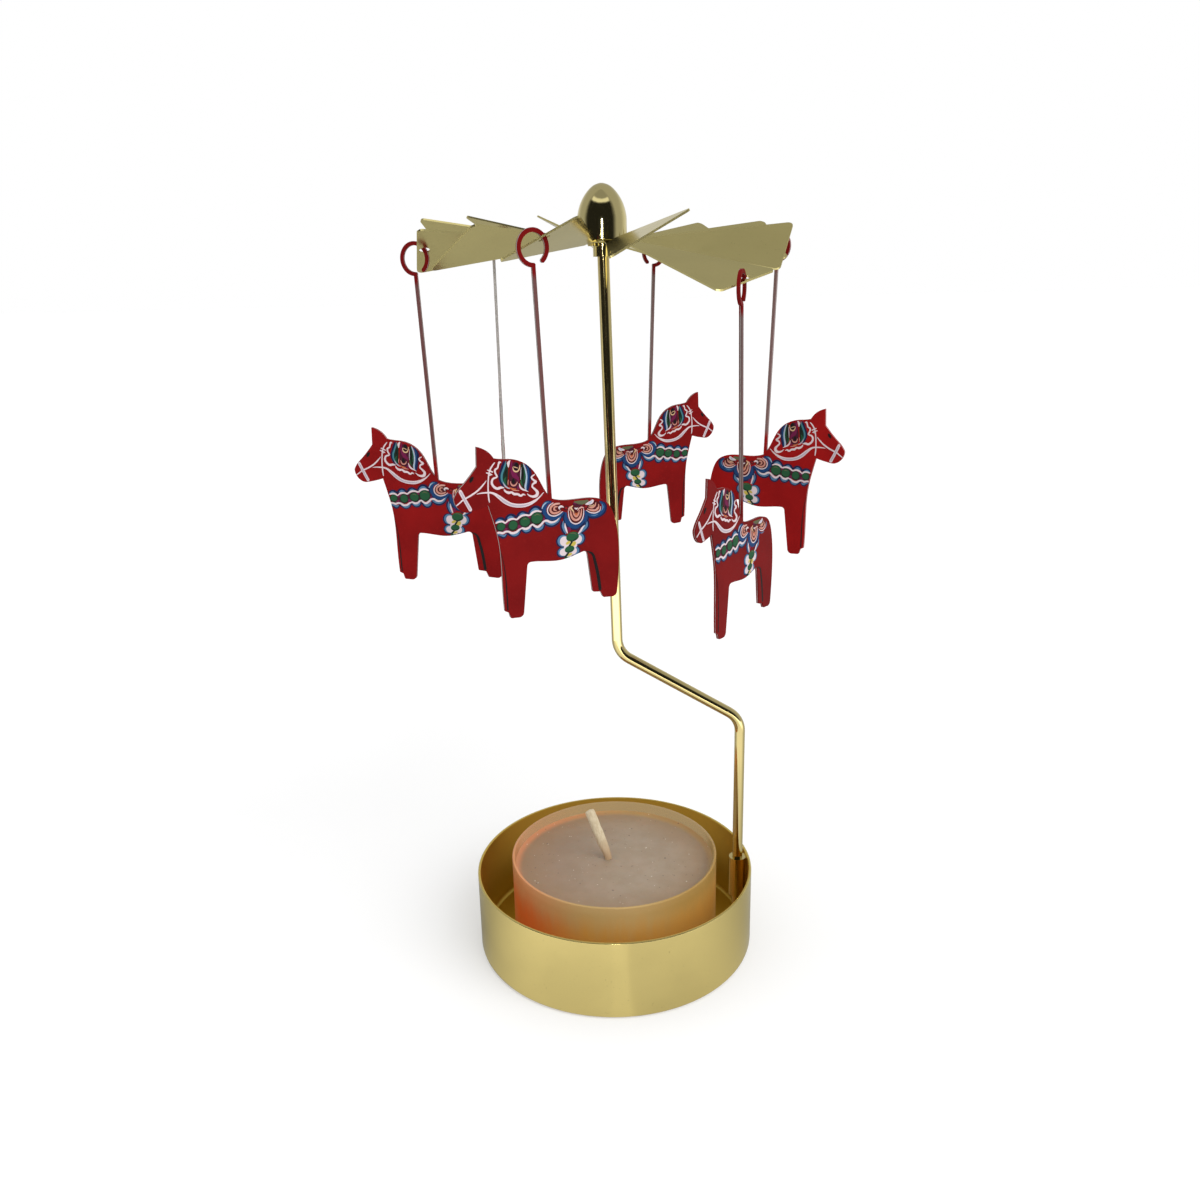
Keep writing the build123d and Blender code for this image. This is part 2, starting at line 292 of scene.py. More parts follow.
# %% World and lamps
world = bpy.data.worlds.new("studio")
world.use_nodes = True
scene.world = world
graph = Graph(world.node_tree)
background = world.node_tree.nodes["Background"].inputs
way = graph.place("Generated")
upward = graph.along(way, (0, 0, 1))
facing = graph.along(way, (-0.17, -0.985, 0))
round_room = facing / (1.0001 - upward * upward) ** 0.5
front = round_room.step(0.10, 0.54)
behind = (0 - round_room).step(0.3, 0.9) * (1 - upward.step(0.15, 0.60))
strip = round_room.step(0.35, 0.50) * upward.step(0.74, 0.77) * (1 - upward.step(0.83, 0.88))
room = graph.blend(front, grey(0.47), grey(0.36))
room = graph.blend(behind, room, grey(0.80))
room = graph.blend(strip, room, grey(1.05))
room = graph.blend(front * (1 - upward.step(0.70, 0.75)), room, grey(0.02))
light = graph.blend(graph.ray("Diffuse"), grey(1), grey(0.84))
graph.plug(background["Color"], graph.blend(graph.ray("Glossy"), light, room))
background["Strength"].default_value = 1.0

lamp = bpy.data.lights.new("window", "SUN")
lamp.energy = 1.8
lamp.angle = np.radians(52)
window = add_object("window", lamp)
window.rotation_euler = np.radians([34, 40, 0])
window.visible_glossy = False
spark = bpy.data.lights.new("room_lamp", "POINT")
spark.energy = 0.9
spark.shadow_soft_size = 0.02
room_lamp = add_object("room_lamp", spark)
room_lamp.location = (0.0, -0.55, 0.155)
room_lamp.visible_diffuse = False
print("lamps:", window.name, room_lamp.name)

# %% [markdown]
# ## Gold plating
# The cup, rod, fan and dome are thin steel or brass with a bright gold layer. It isn't a perfect
# mirror: the sheet keeps faint waves from rolling and pressing, handling leaves dull smudges, and tiny
# specks sit in the layer. One function makes all four golds, with the tint and the amount of each flaw
# as its parameters. The fan was cut with shears, which leaves its edges dull. A mask finds them: a
# blade's face leans by its twist about the line out from the axis, and an edge lies square to that.

# %% Gold finishes
def gold(name, tint, roughness, wave, streaks, anisotropic=0.0, flat_view=(1, 1, 1, 1)):
    """Bright plating: soft clouds and specks vary its tint, smudges its roughness, and its normal is wavy.

    flat_view tints what the plating mirrors where it is seen almost edge on. The fan and the cup go on from
    the graph and the colour with a roughness of their own.
    """
    material, graph, shader = finish(name, Metallic=1.0, Anisotropic=anisotropic, Specular_Tint=flat_view)
    clouds = graph.noise(70.0, 3.0)
    smudges = graph.noise(260.0, 4.0, 0.6).step(0.50, 0.78)
    drawn = graph.noise(1.0, 3.0, 0.6, graph.stretched(*streaks))
    specks = graph.noise(2600.0, 1.0).step(0.72, 0.80)
    colour = graph.blend(clouds.step(0.35, 0.65), darker(tint, 0.93), tint)
    colour = graph.blend(specks * 0.6, colour, darker(tint, 0.55))
    graph.plug(shader["Base Color"], colour)
    graph.plug(shader["Roughness"], roughness + smudges * 0.06 + drawn * 0.05 + specks * 0.2)
    graph.plug(shader["Normal"], graph.bump(clouds * 0.8 + drawn * 0.2, wave))
    return material, graph, shader, colour


wire_gold = gold("gold_wire", (0.74, 0.61, 0.27, 1), 0.05, 0.00001, (900, 900, 120))[0]
hub_gold = gold("gold_hub", (0.72, 0.62, 0.29, 1), 0.04, 0.00001, (700, 700, 200))[0]
for node in ("stand_rod", "rod_socket"):
    dress(node, wire_gold)
for node in ("hub_dome", "hub_collar"):
    dress(node, hub_gold)
print("gold finishes:", wire_gold.name, hub_gold.name)

# %% The fan, dull along its sheared edges
fan_tint = (0.685, 0.595, 0.26, 1)
paler = (0.85, 0.82, 0.68, 1)
fan_gold, graph, shader, _ = gold("gold_fan", fan_tint, 0.12, 0.00003, (60, 900, 900), flat_view=paler)
around = graph.vector("NORMALIZE", graph.vector("CROSS_PRODUCT", graph.place(), (0, 0, -1)))
twist = np.radians(28)
aside = (float(np.sin(twist)),) * 3
upright = (0, 0, float(np.cos(twist)))
blade_normal = graph.vector("MULTIPLY_ADD", around, aside, upright)
sheared = 1 - abs(graph.along(blade_normal, graph.place("Normal"))).step(0.45, 0.60)
smudges = graph.noise(260.0, 4.0, 0.6).step(0.50, 0.78)
graph.plug(shader["Roughness"], 0.12 + sheared * 0.42 + smudges * 0.06)
dress("fan_rotor", fan_gold)
print("blades twisted by", round(float(np.degrees(twist))), "degrees")

# %% The cup, bright outside, with painted amber reflection and shade inside
cup_tint = (0.76, 0.615, 0.235, 1)
paler = (0.93, 0.91, 0.80, 1)
cup_gold, graph, shader, colour = gold("gold_cup", cup_tint, 0.10, 0.00008, (500, 500, 40), 0.4, paler)
cup_low, cup_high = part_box("base_cup")
half_sheet = 0.00025
blur = 0.0001
wall_middle = (cup_high[0] - cup_low[0]) / 2 - half_sheet
inside = 1 - graph.from_axis().step(wall_middle - blur, wall_middle + blur)
# Inside, painted light: a deeper amber stands for gold mirrored in gold, darker towards the bottom as
# painted shade.
amber = graph.blend(graph.axis("Z").step(0.005, 0.013), (0.56, 0.40, 0.08, 1), (0.84, 0.60, 0.13, 1))
graph.plug(shader["Base Color"], graph.blend(inside, colour, amber))
graph.plug(shader["Roughness"], 0.12 + inside * 0.2 + graph.noise(260.0, 4.0, 0.6) * 0.06)
dress("base_cup", cup_gold)
print("cup wall's middle at radius", round(1000 * wall_middle, 2), "mm")

# %% [markdown]
# ## Small steel and tin pieces
# Two pieces hardly show: the hard steel seat inside the dome that turns on the rod's point, and the tin
# foot that holds the wick upright at the bottom of the wax. They are turned and stamped metal, so a
# fine grain that runs round or across them is enough.

# %% Bearing steel and tin
def bare_metal(name, tint, roughness, streaks):
    """Plain metal: grain drawn out into streaks varies its colour, roughness and height."""
    material, graph, shader = finish(name, Metallic=1.0)
    grain = graph.noise(1.0, 4.0, 0.6, graph.stretched(*streaks))
    graph.plug(shader["Base Color"], graph.blend(grain.step(0.3, 0.7), darker(tint, 0.8), tint))
    graph.plug(shader["Roughness"], roughness + grain * 0.15)
    graph.plug(shader["Normal"], graph.bump(grain, 0.00001))
    return material


dress("pivot_bearing", bare_metal("bearing_steel", tone(190, 192, 196), 0.22, (300, 300, 4000)))
dress("wick_sustainer", bare_metal("sustainer_tin", tone(205, 205, 200), 0.30, (2500, 300, 300)))
print("bearing and sustainer dressed")

# %% [markdown]
# ## The painted plates
# Each horse, its stem and its ring are cut from one thin steel sheet that was painted red before
# cutting, so the cut edges are bare grey metal. A mask tells face from edge: the surface's normal
# points along the plate's own normal on a face and across it on an edge. The plate's normal is found
# from its triangles, because most of a plate's area is its two faces. Each horse's red is made darker
# or lighter by a factor of its own, painted light and shade for how the light falls on that horse,
# and fingers have worn the thin stems to a dull brown.

# %% Read a plate from the CAD
swings = {joint["child"]: joint for joint in frame["joints"] if joint["name"].endswith("_swing")}

# In mm from the eye: the withers, and the height below which a plate is horse.
# In mm too: a tick, to which corners are rounded so that shared ones are found.
withers = np.array([-1.2310, -34.15])
horse_below = -22
tick = 0.002


def triangles(node):
    """The corners of a node's triangles: an array of triangle, corner and coordinate, in millimetres."""
    mesh = nodes[node].data
    mesh.calc_loop_triangles()
    places = np.empty(3 * len(mesh.vertices))
    mesh.vertices.foreach_get("co", places)
    order = np.empty(3 * len(mesh.loop_triangles), dtype=int)
    mesh.loop_triangles.foreach_get("vertices", order)
    return 1000 * places.reshape(-1, 3)[order].reshape(-1, 3, 3)


def plate(node):
    """A plate's normal, nose direction and eye, the levels of its two faces, and its outline's edges.

    The normal is the main direction of the triangles' normals weighed by area. The outline is the edges that
    only one triangle of the front face has, in millimetres from the withers towards the nose and up.
    """
    corners = triangles(node)
    eye = 1000 * np.array(swings[node]["pos_m"])
    area = np.cross(corners[:, 1] - corners[:, 0], corners[:, 2] - corners[:, 0]) / 2
    size = np.linalg.norm(area, axis=1, keepdims=True) + 1e-12
    normal = np.linalg.eigh(area.T @ (area / size))[1][:, 2]
    normal[2] = 0
    normal *= np.sign(normal @ np.array(swings[node]["axis"])) / np.linalg.norm(normal)
    nose = np.array([-normal[1], normal[0], 0.0])
    lean = (area @ normal) / size[:, 0]
    depth = ((corners - eye) @ normal).mean(axis=1)
    horse = (corners - eye)[:, :, 2].max(axis=1) < horse_below
    sides = [horse & (lean > 0.9), horse & (lean < -0.9)]
    levels = [np.average(depth[side], weights=size[side, 0]) for side in sides]
    flat = np.stack([(corners - eye) @ nose, (corners - eye)[:, :, 2]], axis=2)[lean > 0.5] - withers
    ticks = np.round(flat / tick).astype(int)
    ends = np.stack([ticks, np.roll(ticks, -1, axis=1)], axis=2).reshape(-1, 4)
    turned = (ends[:, 0] > ends[:, 2]) | ((ends[:, 0] == ends[:, 2]) & (ends[:, 1] > ends[:, 3]))
    ends = np.where(turned[:, None], ends[:, [2, 3, 0, 1]], ends)
    edges, uses = np.unique(ends, axis=0, return_counts=True)
    return {
        "normal": normal,
        "nose": nose,
        "eye": eye,
        "levels": levels,
        "outline": edges[uses == 1].reshape(-1, 2, 2) * tick,
    }


plates = {node: plate(node) for node in swings}
for node, found in plates.items():
    print(node, "faces at", np.round(found["levels"], 3), "mm, outline edges", len(found["outline"]))

# %% Red paint on the faces, bare metal along the cut edges
# In m from the eye, each pair from where one coat ends to where the next one is full.
stem_foot = (-0.0315, -0.0295)
stem_top = (-0.0044, -0.0031)
ring_foot = (-0.0052, -0.0036)
stem_side = (0.0011, 0.0015)
stem_offset = 0.0006


def painted_sheet(name, found, bare, worn, painted_light):
    """Red enamel that wraps over the edges, with a line of grey cut metal along their middle.

    The line is where the normal points across the plate and the place is within bare mm of the plate's
    middle plane. Height below the ring's middle tells the ring, with its darker red, from the worn stem.
    """
    material, graph, shader = finish(name, Specular_IOR_Level=0.08)
    normal = found["normal"].tolist()
    middle = (found["eye"] @ found["normal"] + np.mean(found["levels"])) / 1000
    grain = graph.noise(2200.0, 3.0, 0.6)
    cloud = graph.noise(160.0, 3.0)

    away = abs(graph.along(graph.place(), normal) - float(middle))
    wrapped = (away + (grain - 0.5) * 0.00008).step(bare / 1000 - 0.00003, bare / 1000 + 0.00003)
    face = abs(graph.along(graph.place("Normal"), normal)).step(0.55, 0.72).most(wrapped)

    aside = graph.along(graph.place(), found["nose"].tolist())
    aside = aside - float(found["eye"] @ found["nose"]) / 1000 + stem_offset
    height = graph.axis("Z") - float(found["eye"][2]) / 1000
    stem = height.step(*stem_foot) * (1 - height.step(*stem_top)) * (1 - abs(aside).step(*stem_side))

    # This horse's red is scaled by its own factor: painted light and shade.
    red = graph.blend(cloud.step(0.3, 0.7), tone(130 * painted_light, 11, 12), tone(146 * painted_light, 15, 15))
    red = graph.blend(grain.step(0.56, 0.74) * 0.4, red, tone(162 * painted_light, 28, 26))
    red = graph.blend(height.step(*ring_foot), red, tone(112, 9, 10))
    red = graph.blend(stem * 0.9, red, worn)
    cut = graph.blend(grain.step(0.3, 0.7), tone(176, 173, 169), tone(207, 204, 201))
    graph.plug(shader["Base Color"], graph.blend(face, cut, red))
    graph.plug(shader["Metallic"], (1 - face) * 0.3)
    graph.plug(shader["Roughness"], 0.46 + grain * 0.14)
    graph.plug(shader["Normal"], graph.bump(grain, 0.000005))
    return material


# For each plate: the bare line's half width in mm, a factor that makes its red darker or lighter, painted
# light and shade for how the light falls on that horse, and the tone of its worn stem.
coats_and_light = {
    "pendant_1": (0.05, 0.95, (104, 74, 72)),
    "pendant_2": (0.09, 0.82, (104, 74, 72)),
    "pendant_3": (0.02, 0.80, (108, 92, 90)),
    "pendant_4": (0.05, 1.05, (124, 106, 104)),
    "pendant_5": (0.05, 0.90, (124, 106, 104)),
    "pendant_6": (0.20, 0.95, (124, 106, 104)),
}
for node, found in plates.items():
    bare, painted_light, worn = coats_and_light[node]
    dress(node, painted_sheet(f"{node}_red", found, bare, tone(*worn), painted_light))
print("painted plates:", len(plates))

# %% [markdown]
# ## The harness
# The harness on each horse is a traditional folk pattern: rosettes for a saddle, a beaded girth and
# breast band, a white bridle and a mane like a fan of leaves. It could be one picture on a texture, but
# then it would have a pixel size. Here each brush stroke is a row of points with a width, in
# millimetres from the withers: colour, layer, then x towards the nose, y up, and width. A dab is x, y,
# half length, half width and turn in degrees.

# %% Colours of the paint
palette = {
    "white": (212, 196, 200),
    "lilac": (176, 166, 178),
    "pale_blue": (160, 178, 194),
    "sky": (76, 116, 150),
    "blue": (14, 58, 106),
    "navy": (16, 18, 60),
    "teal": (62, 118, 130),
    "green": (28, 80, 48),
    "dark_green": (12, 36, 24),
    "moss": (88, 92, 64),
    "magenta": (106, 14, 64),
    "plum": (66, 8, 34),
    "salmon": (194, 134, 118),
    "pink": (204, 158, 150),
    "cream": (206, 172, 132),
    "orange": (186, 98, 56),
    "yellow": (190, 170, 76),
    "dark_red": (72, 6, 14),
    "red": (136, 14, 20),
    "black": (12, 8, 10),
}


def enamel(name):
    """Brushed enamel of one colour: fine grain in its gloss and its surface."""
    colour = tone(*palette[name])
    material, graph, shader = finish(f"paint_{name}", Base_Color=colour, Specular_IOR_Level=0.2)
    grain = graph.noise(2600.0, 2.0)
    graph.plug(shader["Roughness"], 0.42 + grain * 0.18)
    graph.plug(shader["Normal"], graph.bump(grain, 0.000004))
    return material


enamels = {name: enamel(name) for name in palette}
print("paint colours:", len(enamels))

# %% Saddle strokes
saddle = [
    ("navy", 0, [(-7.82, -1.14, 0.1), (-8.56, -1.81, 0.5), (-8.44, -2.81, 0.6), (-7.43, -3.38, 0.6),
        (-6.33, -3.41, 0.55), (-5.64, -2.94, 0.4)]),
    ("blue", 1, [(-7.67, -1.19, 0.15), (-8.31, -1.86, 0.55), (-8.19, -2.65, 0.62),
        (-7.33, -3.18, 0.6), (-6.33, -3.16, 0.55), (-5.59, -2.74, 0.35)]),
    ("sky", 2, [(-8.06, -1.6, 0.08), (-8.2, -2.15, 0.26), (-7.94, -2.7, 0.1)]),
    ("sky", 2, [(-7.43, -3.08, 0.06), (-6.83, -3.22, 0.18), (-6.23, -3.1, 0.06)]),
    ("dark_red", 2, (-6.71, -1.92, 1.15, 0.85, -8)),
    ("white", 3, [(-7.86, -1.95, 0.06), (-7.67, -2.59, 0.16), (-6.94, -2.86, 0.18),
        (-6.14, -2.7, 0.16), (-5.5, -2.29, 0.08)]),
    ("salmon", 3, [(-7.51, -1.59, 0.12), (-7.47, -2.14, 0.32), (-6.95, -2.48, 0.34),
        (-6.2, -2.35, 0.3), (-5.65, -2.09, 0.12)]),
    ("pink", 4, [(-7.36, -2.03, 0.05), (-7, -2.37, 0.14), (-6.35, -2.36, 0.05)]),
    ("salmon", 3, [(-7.09, -1.28, 0.1), (-6.91, -1.77, 0.28), (-6.41, -2.01, 0.28),
        (-5.86, -1.84, 0.12)]),
    ("cream", 4, [(-6.78, -1.57, 0.06), (-6.46, -1.76, 0.16), (-5.96, -1.65, 0.06)]),
    ("white", 4, [(-6.68, -0.87, 0.35), (-6.37, -1.21, 0.55), (-5.82, -1.34, 0.4), (-5.37, -1.43, 0.1)]),
    ("pale_blue", 5, [(-6.48, -0.96, 0.1), (-6.17, -1.25, 0.26), (-5.77, -1.29, 0.08)]),
    ("moss", 1, [(-5.93, -0.9, 0.3), (-5.17, -1.08, 0.6), (-4.27, -1.01, 0.55), (-3.58, -0.84, 0.2)]),
    ("plum", 2, [(-5.07, -1.48, 0.1), (-4.37, -1.48, 0.42), (-3.82, -1.29, 0.5), (-3.42, -1.03, 0.3)]),
    ("magenta", 3, [(-3.97, -1.15, 0.06), (-3.72, -1.09, 0.2), (-3.48, -0.98, 0.06)]),
    ("dark_red", 3, (-5.46, -1.74, 0.42, 0.34, -20)),
    ("red", 4, (-5.46, -1.74, 0.22, 0.17, -20)),
    ("navy", 0, [(-5.55, -2.39, 0.3), (-5.78, -3.29, 0.5), (-5.16, -4.33, 0.7), (-3.95, -4.75, 0.7),
        (-2.81, -4.42, 0.7), (-2.08, -3.4, 0.6), (-2, -2.3, 0.35)]),
    ("blue", 1, [(-5.3, -2.28, 0.2), (-5.48, -3.29, 0.62), (-4.86, -4.17, 0.72), (-3.9, -4.5, 0.75),
        (-2.96, -4.22, 0.72), (-2.33, -3.31, 0.65), (-2.25, -2.21, 0.3)]),
    ("navy", 2, [(-5.32, -3.88, 0.08), (-4.86, -4.47, 0.3), (-4.2, -4.74, 0.12)]),
    ("dark_red", 2, (-3.89, -2.75, 1.3, 1.2, 90)),
    ("white", 3, [(-5.11, -1.98, 0.08), (-5.04, -2.98, 0.15), (-4.62, -3.84, 0.17),
        (-3.86, -4.15, 0.18), (-3.12, -3.81, 0.17), (-2.72, -2.92, 0.15), (-2.67, -2.02, 0.08)]),
    ("salmon", 3, [(-4.77, -2.02, 0.14), (-4.64, -2.92, 0.32), (-4.28, -3.44, 0.36),
        (-3.84, -3.57, 0.38), (-3.41, -3.35, 0.36), (-3.09, -2.73, 0.32), (-3.01, -1.92, 0.12)]),
    ("pink", 4, [(-4.58, -3.01, 0.05), (-4.22, -3.5, 0.18), (-3.72, -3.59, 0.06)]),
    ("salmon", 3, [(-4.4, -2.11, 0.12), (-4.26, -2.71, 0.28), (-3.91, -3.03, 0.36),
        (-3.56, -2.69, 0.28), (-3.4, -2.03, 0.12)]),
    ("orange", 4, [(-4.1, -2.45, 0.06), (-3.92, -2.8, 0.28), (-3.75, -2.44, 0.06)]),
    ("white", 4, [(-4.21, -1.77, 0.08), (-3.94, -1.9, 0.26), (-3.61, -1.72, 0.08)]),
    ("pink", 4, [(-5.16, -1.88, 0.1), (-4.76, -1.79, 0.24), (-4.31, -1.96, 0.2), (-4.1, -2.25, 0.06)]),
    ("cream", 4, [(-3.42, -1.33, 0.1), (-3.11, -1.68, 0.26), (-3.35, -2.08, 0.2), (-3.6, -2.39, 0.06)]),
    ("pink", 4, [(-3.06, -1.47, 0.08), (-2.78, -1.77, 0.26), (-2.8, -2.12, 0.06)]),
    ("dark_red", 3, (-2.34, -1.61, 0.42, 0.36, 10)),
    ("red", 4, (-2.34, -1.61, 0.22, 0.19, 10)),
    ("navy", 0, [(-0.18, -0.4, 0.2), (0.67, -0.38, 0.35), (1.28, -0.97, 0.4), (1.34, -1.82, 0.5),
        (0.91, -2.63, 0.6), (0.07, -3.15, 0.6), (-0.93, -3.12, 0.6), (-1.74, -2.64, 0.5),
        (-2.15, -2.2, 0.2)]),
    ("blue", 1, [(-0.08, -0.5, 0.25), (0.62, -0.68, 0.5), (1.03, -1.37, 0.62), (0.87, -2.23, 0.62),
        (0.21, -2.79, 0.6), (-0.69, -2.92, 0.55), (-1.54, -2.54, 0.45), (-2.05, -2.15, 0.15)]),
    ("sky", 2, [(0.32, -0.39, 0.08), (0.87, -0.53, 0.26), (1.23, -0.92, 0.22), (1.38, -1.31, 0.06)]),
    ("pale_blue", 3, [(0.67, -0.49, 0.05), (1.12, -0.77, 0.2), (1.43, -1.31, 0.12)]),
    ("dark_red", 2, (-0.61, -1.61, 1.08, 0.92, -12)),
    ("white", 3, [(-0.38, -0.61, 0.07), (0.28, -0.99, 0.16), (0.58, -1.63, 0.17), (0.35, -2.24, 0.17),
        (-0.34, -2.58, 0.17), (-1.15, -2.43, 0.16), (-1.8, -2.04, 0.08)]),
    ("salmon", 3, [(-1.43, -0.86, 0.2), (-0.58, -0.88, 0.34), (0.03, -1.25, 0.34), (0.1, -1.75, 0.34),
        (-0.3, -2.14, 0.34), (-0.95, -2.15, 0.32), (-1.51, -1.89, 0.14)]),
    ("pink", 4, [(-1.38, -0.8, 0.12), (-0.68, -0.81, 0.18), (-0.12, -1.05, 0.06)]),
    ("salmon", 3, [(-1.02, -1.25, 0.14), (-0.57, -1.28, 0.26), (-0.46, -1.64, 0.26),
        (-0.86, -1.85, 0.12)]),
    ("white", 4, [(-1.97, -1.45, 0.12), (-1.57, -1.29, 0.34), (-1.22, -1.43, 0.28),
        (-1.36, -1.73, 0.08)]),
    ("navy", 0, [(-5.87, -3.9, 0.2), (-5.75, -4.69, 0.5), (-5.14, -5.28, 0.45), (-4.53, -5.71, 0.3)]),
    ("sky", 1, [(-5.62, -3.99, 0.12), (-5.5, -4.59, 0.44), (-4.99, -5.08, 0.46), (-4.43, -5.56, 0.2)]),
    ("white", 2, [(-5.26, -4.48, 0.06), (-4.85, -4.82, 0.28), (-4.54, -5.26, 0.32),
        (-4.13, -5.67, 0.14)]),
    ("navy", 0, [(-1.58, -3.39, 0.2), (-1.51, -4.19, 0.42), (-1.74, -4.99, 0.4), (-2.08, -5.5, 0.25)]),
    ("sky", 1, [(-1.88, -3.45, 0.1), (-1.76, -4.19, 0.36), (-1.98, -4.9, 0.34), (-2.23, -5.46, 0.15)]),
    ("white", 2, [(-2.07, -3.8, 0.08), (-2.13, -4.4, 0.28), (-2.31, -5.01, 0.26), (-2.44, -5.41, 0.1)]),
    ("plum", 1, [(-4.55, -4.81, 0.12), (-4.19, -5.11, 0.45), (-3.79, -5.25, 0.2)]),
    ("magenta", 1, [(-2.55, -4.46, 0.12), (-2.75, -4.82, 0.5), (-2.79, -5.22, 0.2)]),
]
print("saddle strokes:", len(saddle))

# %% Girth strokes
girth = [
    ("navy", 0, (-4.27, -6.44, 0.98, 1.1, 80)),
    ("navy", 0, (-1.61, -6.44, 1, 1.08, 90)),
    ("navy", 0, (-3.53, -8.19, 0.9, 0.85, 0)),
    ("navy", 0, (-1.53, -8.14, 0.92, 0.85, 0)),
    ("sky", 1, (-4.22, -6.42, 0.82, 0.92, 80)),
    ("sky", 1, (-1.69, -6.41, 0.85, 0.92, 90)),
    ("sky", 1, (-3.48, -8.16, 0.74, 0.68, 0)),
    ("sky", 1, (-1.59, -8.09, 0.78, 0.7, 0)),
    ("white", 2, (-3.99, -6.47, 0.68, 0.8, 80)),
    ("white", 2, (-1.88, -6.5, 0.72, 0.74, 90)),
    ("white", 2, (-3.23, -8.13, 0.62, 0.6, 0)),
    ("white", 2, (-1.75, -8.12, 0.66, 0.6, 0)),
    ("white", 1, [(-3.18, -5.53, 0.6), (-2.96, -6.73, 2.2), (-2.64, -7.92, 1.9), (-2.11, -9.01, 1.1)]),
    ("green", 3, (-3.22, -6.01, 1.02, 0.76, -6)),
    ("moss", 4, [(-3.88, -5.73, 0.05), (-3.39, -5.46, 0.14), (-2.78, -5.5, 0.05)]),
    ("dark_green", 4, [(-4.12, -6.15, 0.06), (-3.67, -6.46, 0.22), (-3.06, -6.61, 0.16),
        (-2.57, -6.42, 0.06)]),
    ("yellow", 3, (-3.33, -7.08, 0.48, 0.34, -35)),
    ("yellow", 3, (-2.48, -6.81, 0.4, 0.24, -25)),
    ("dark_green", 4, [(-3.16, -6.63, 0.3), (-2.9, -7.02, 0.32), (-2.6, -7.37, 0.3)]),
    ("green", 4, (-2.69, -7.8, 0.78, 0.56, -8)),
    ("dark_green", 5, [(-3.19, -7.93, 0.06), (-2.73, -8.22, 0.2), (-2.13, -8.11, 0.06)]),
    ("yellow", 3, (-2.67, -8.6, 0.42, 0.2, -18)),
    ("dark_green", 4, [(-2.53, -8.27, 0.25), (-2.17, -8.66, 0.36), (-1.86, -8.95, 0.3)]),
    ("green", 4, [(-2.71, -8.97, 0.06), (-2.21, -9.01, 0.22), (-1.81, -9.05, 0.12)]),
]
print("girth strokes:", len(girth))

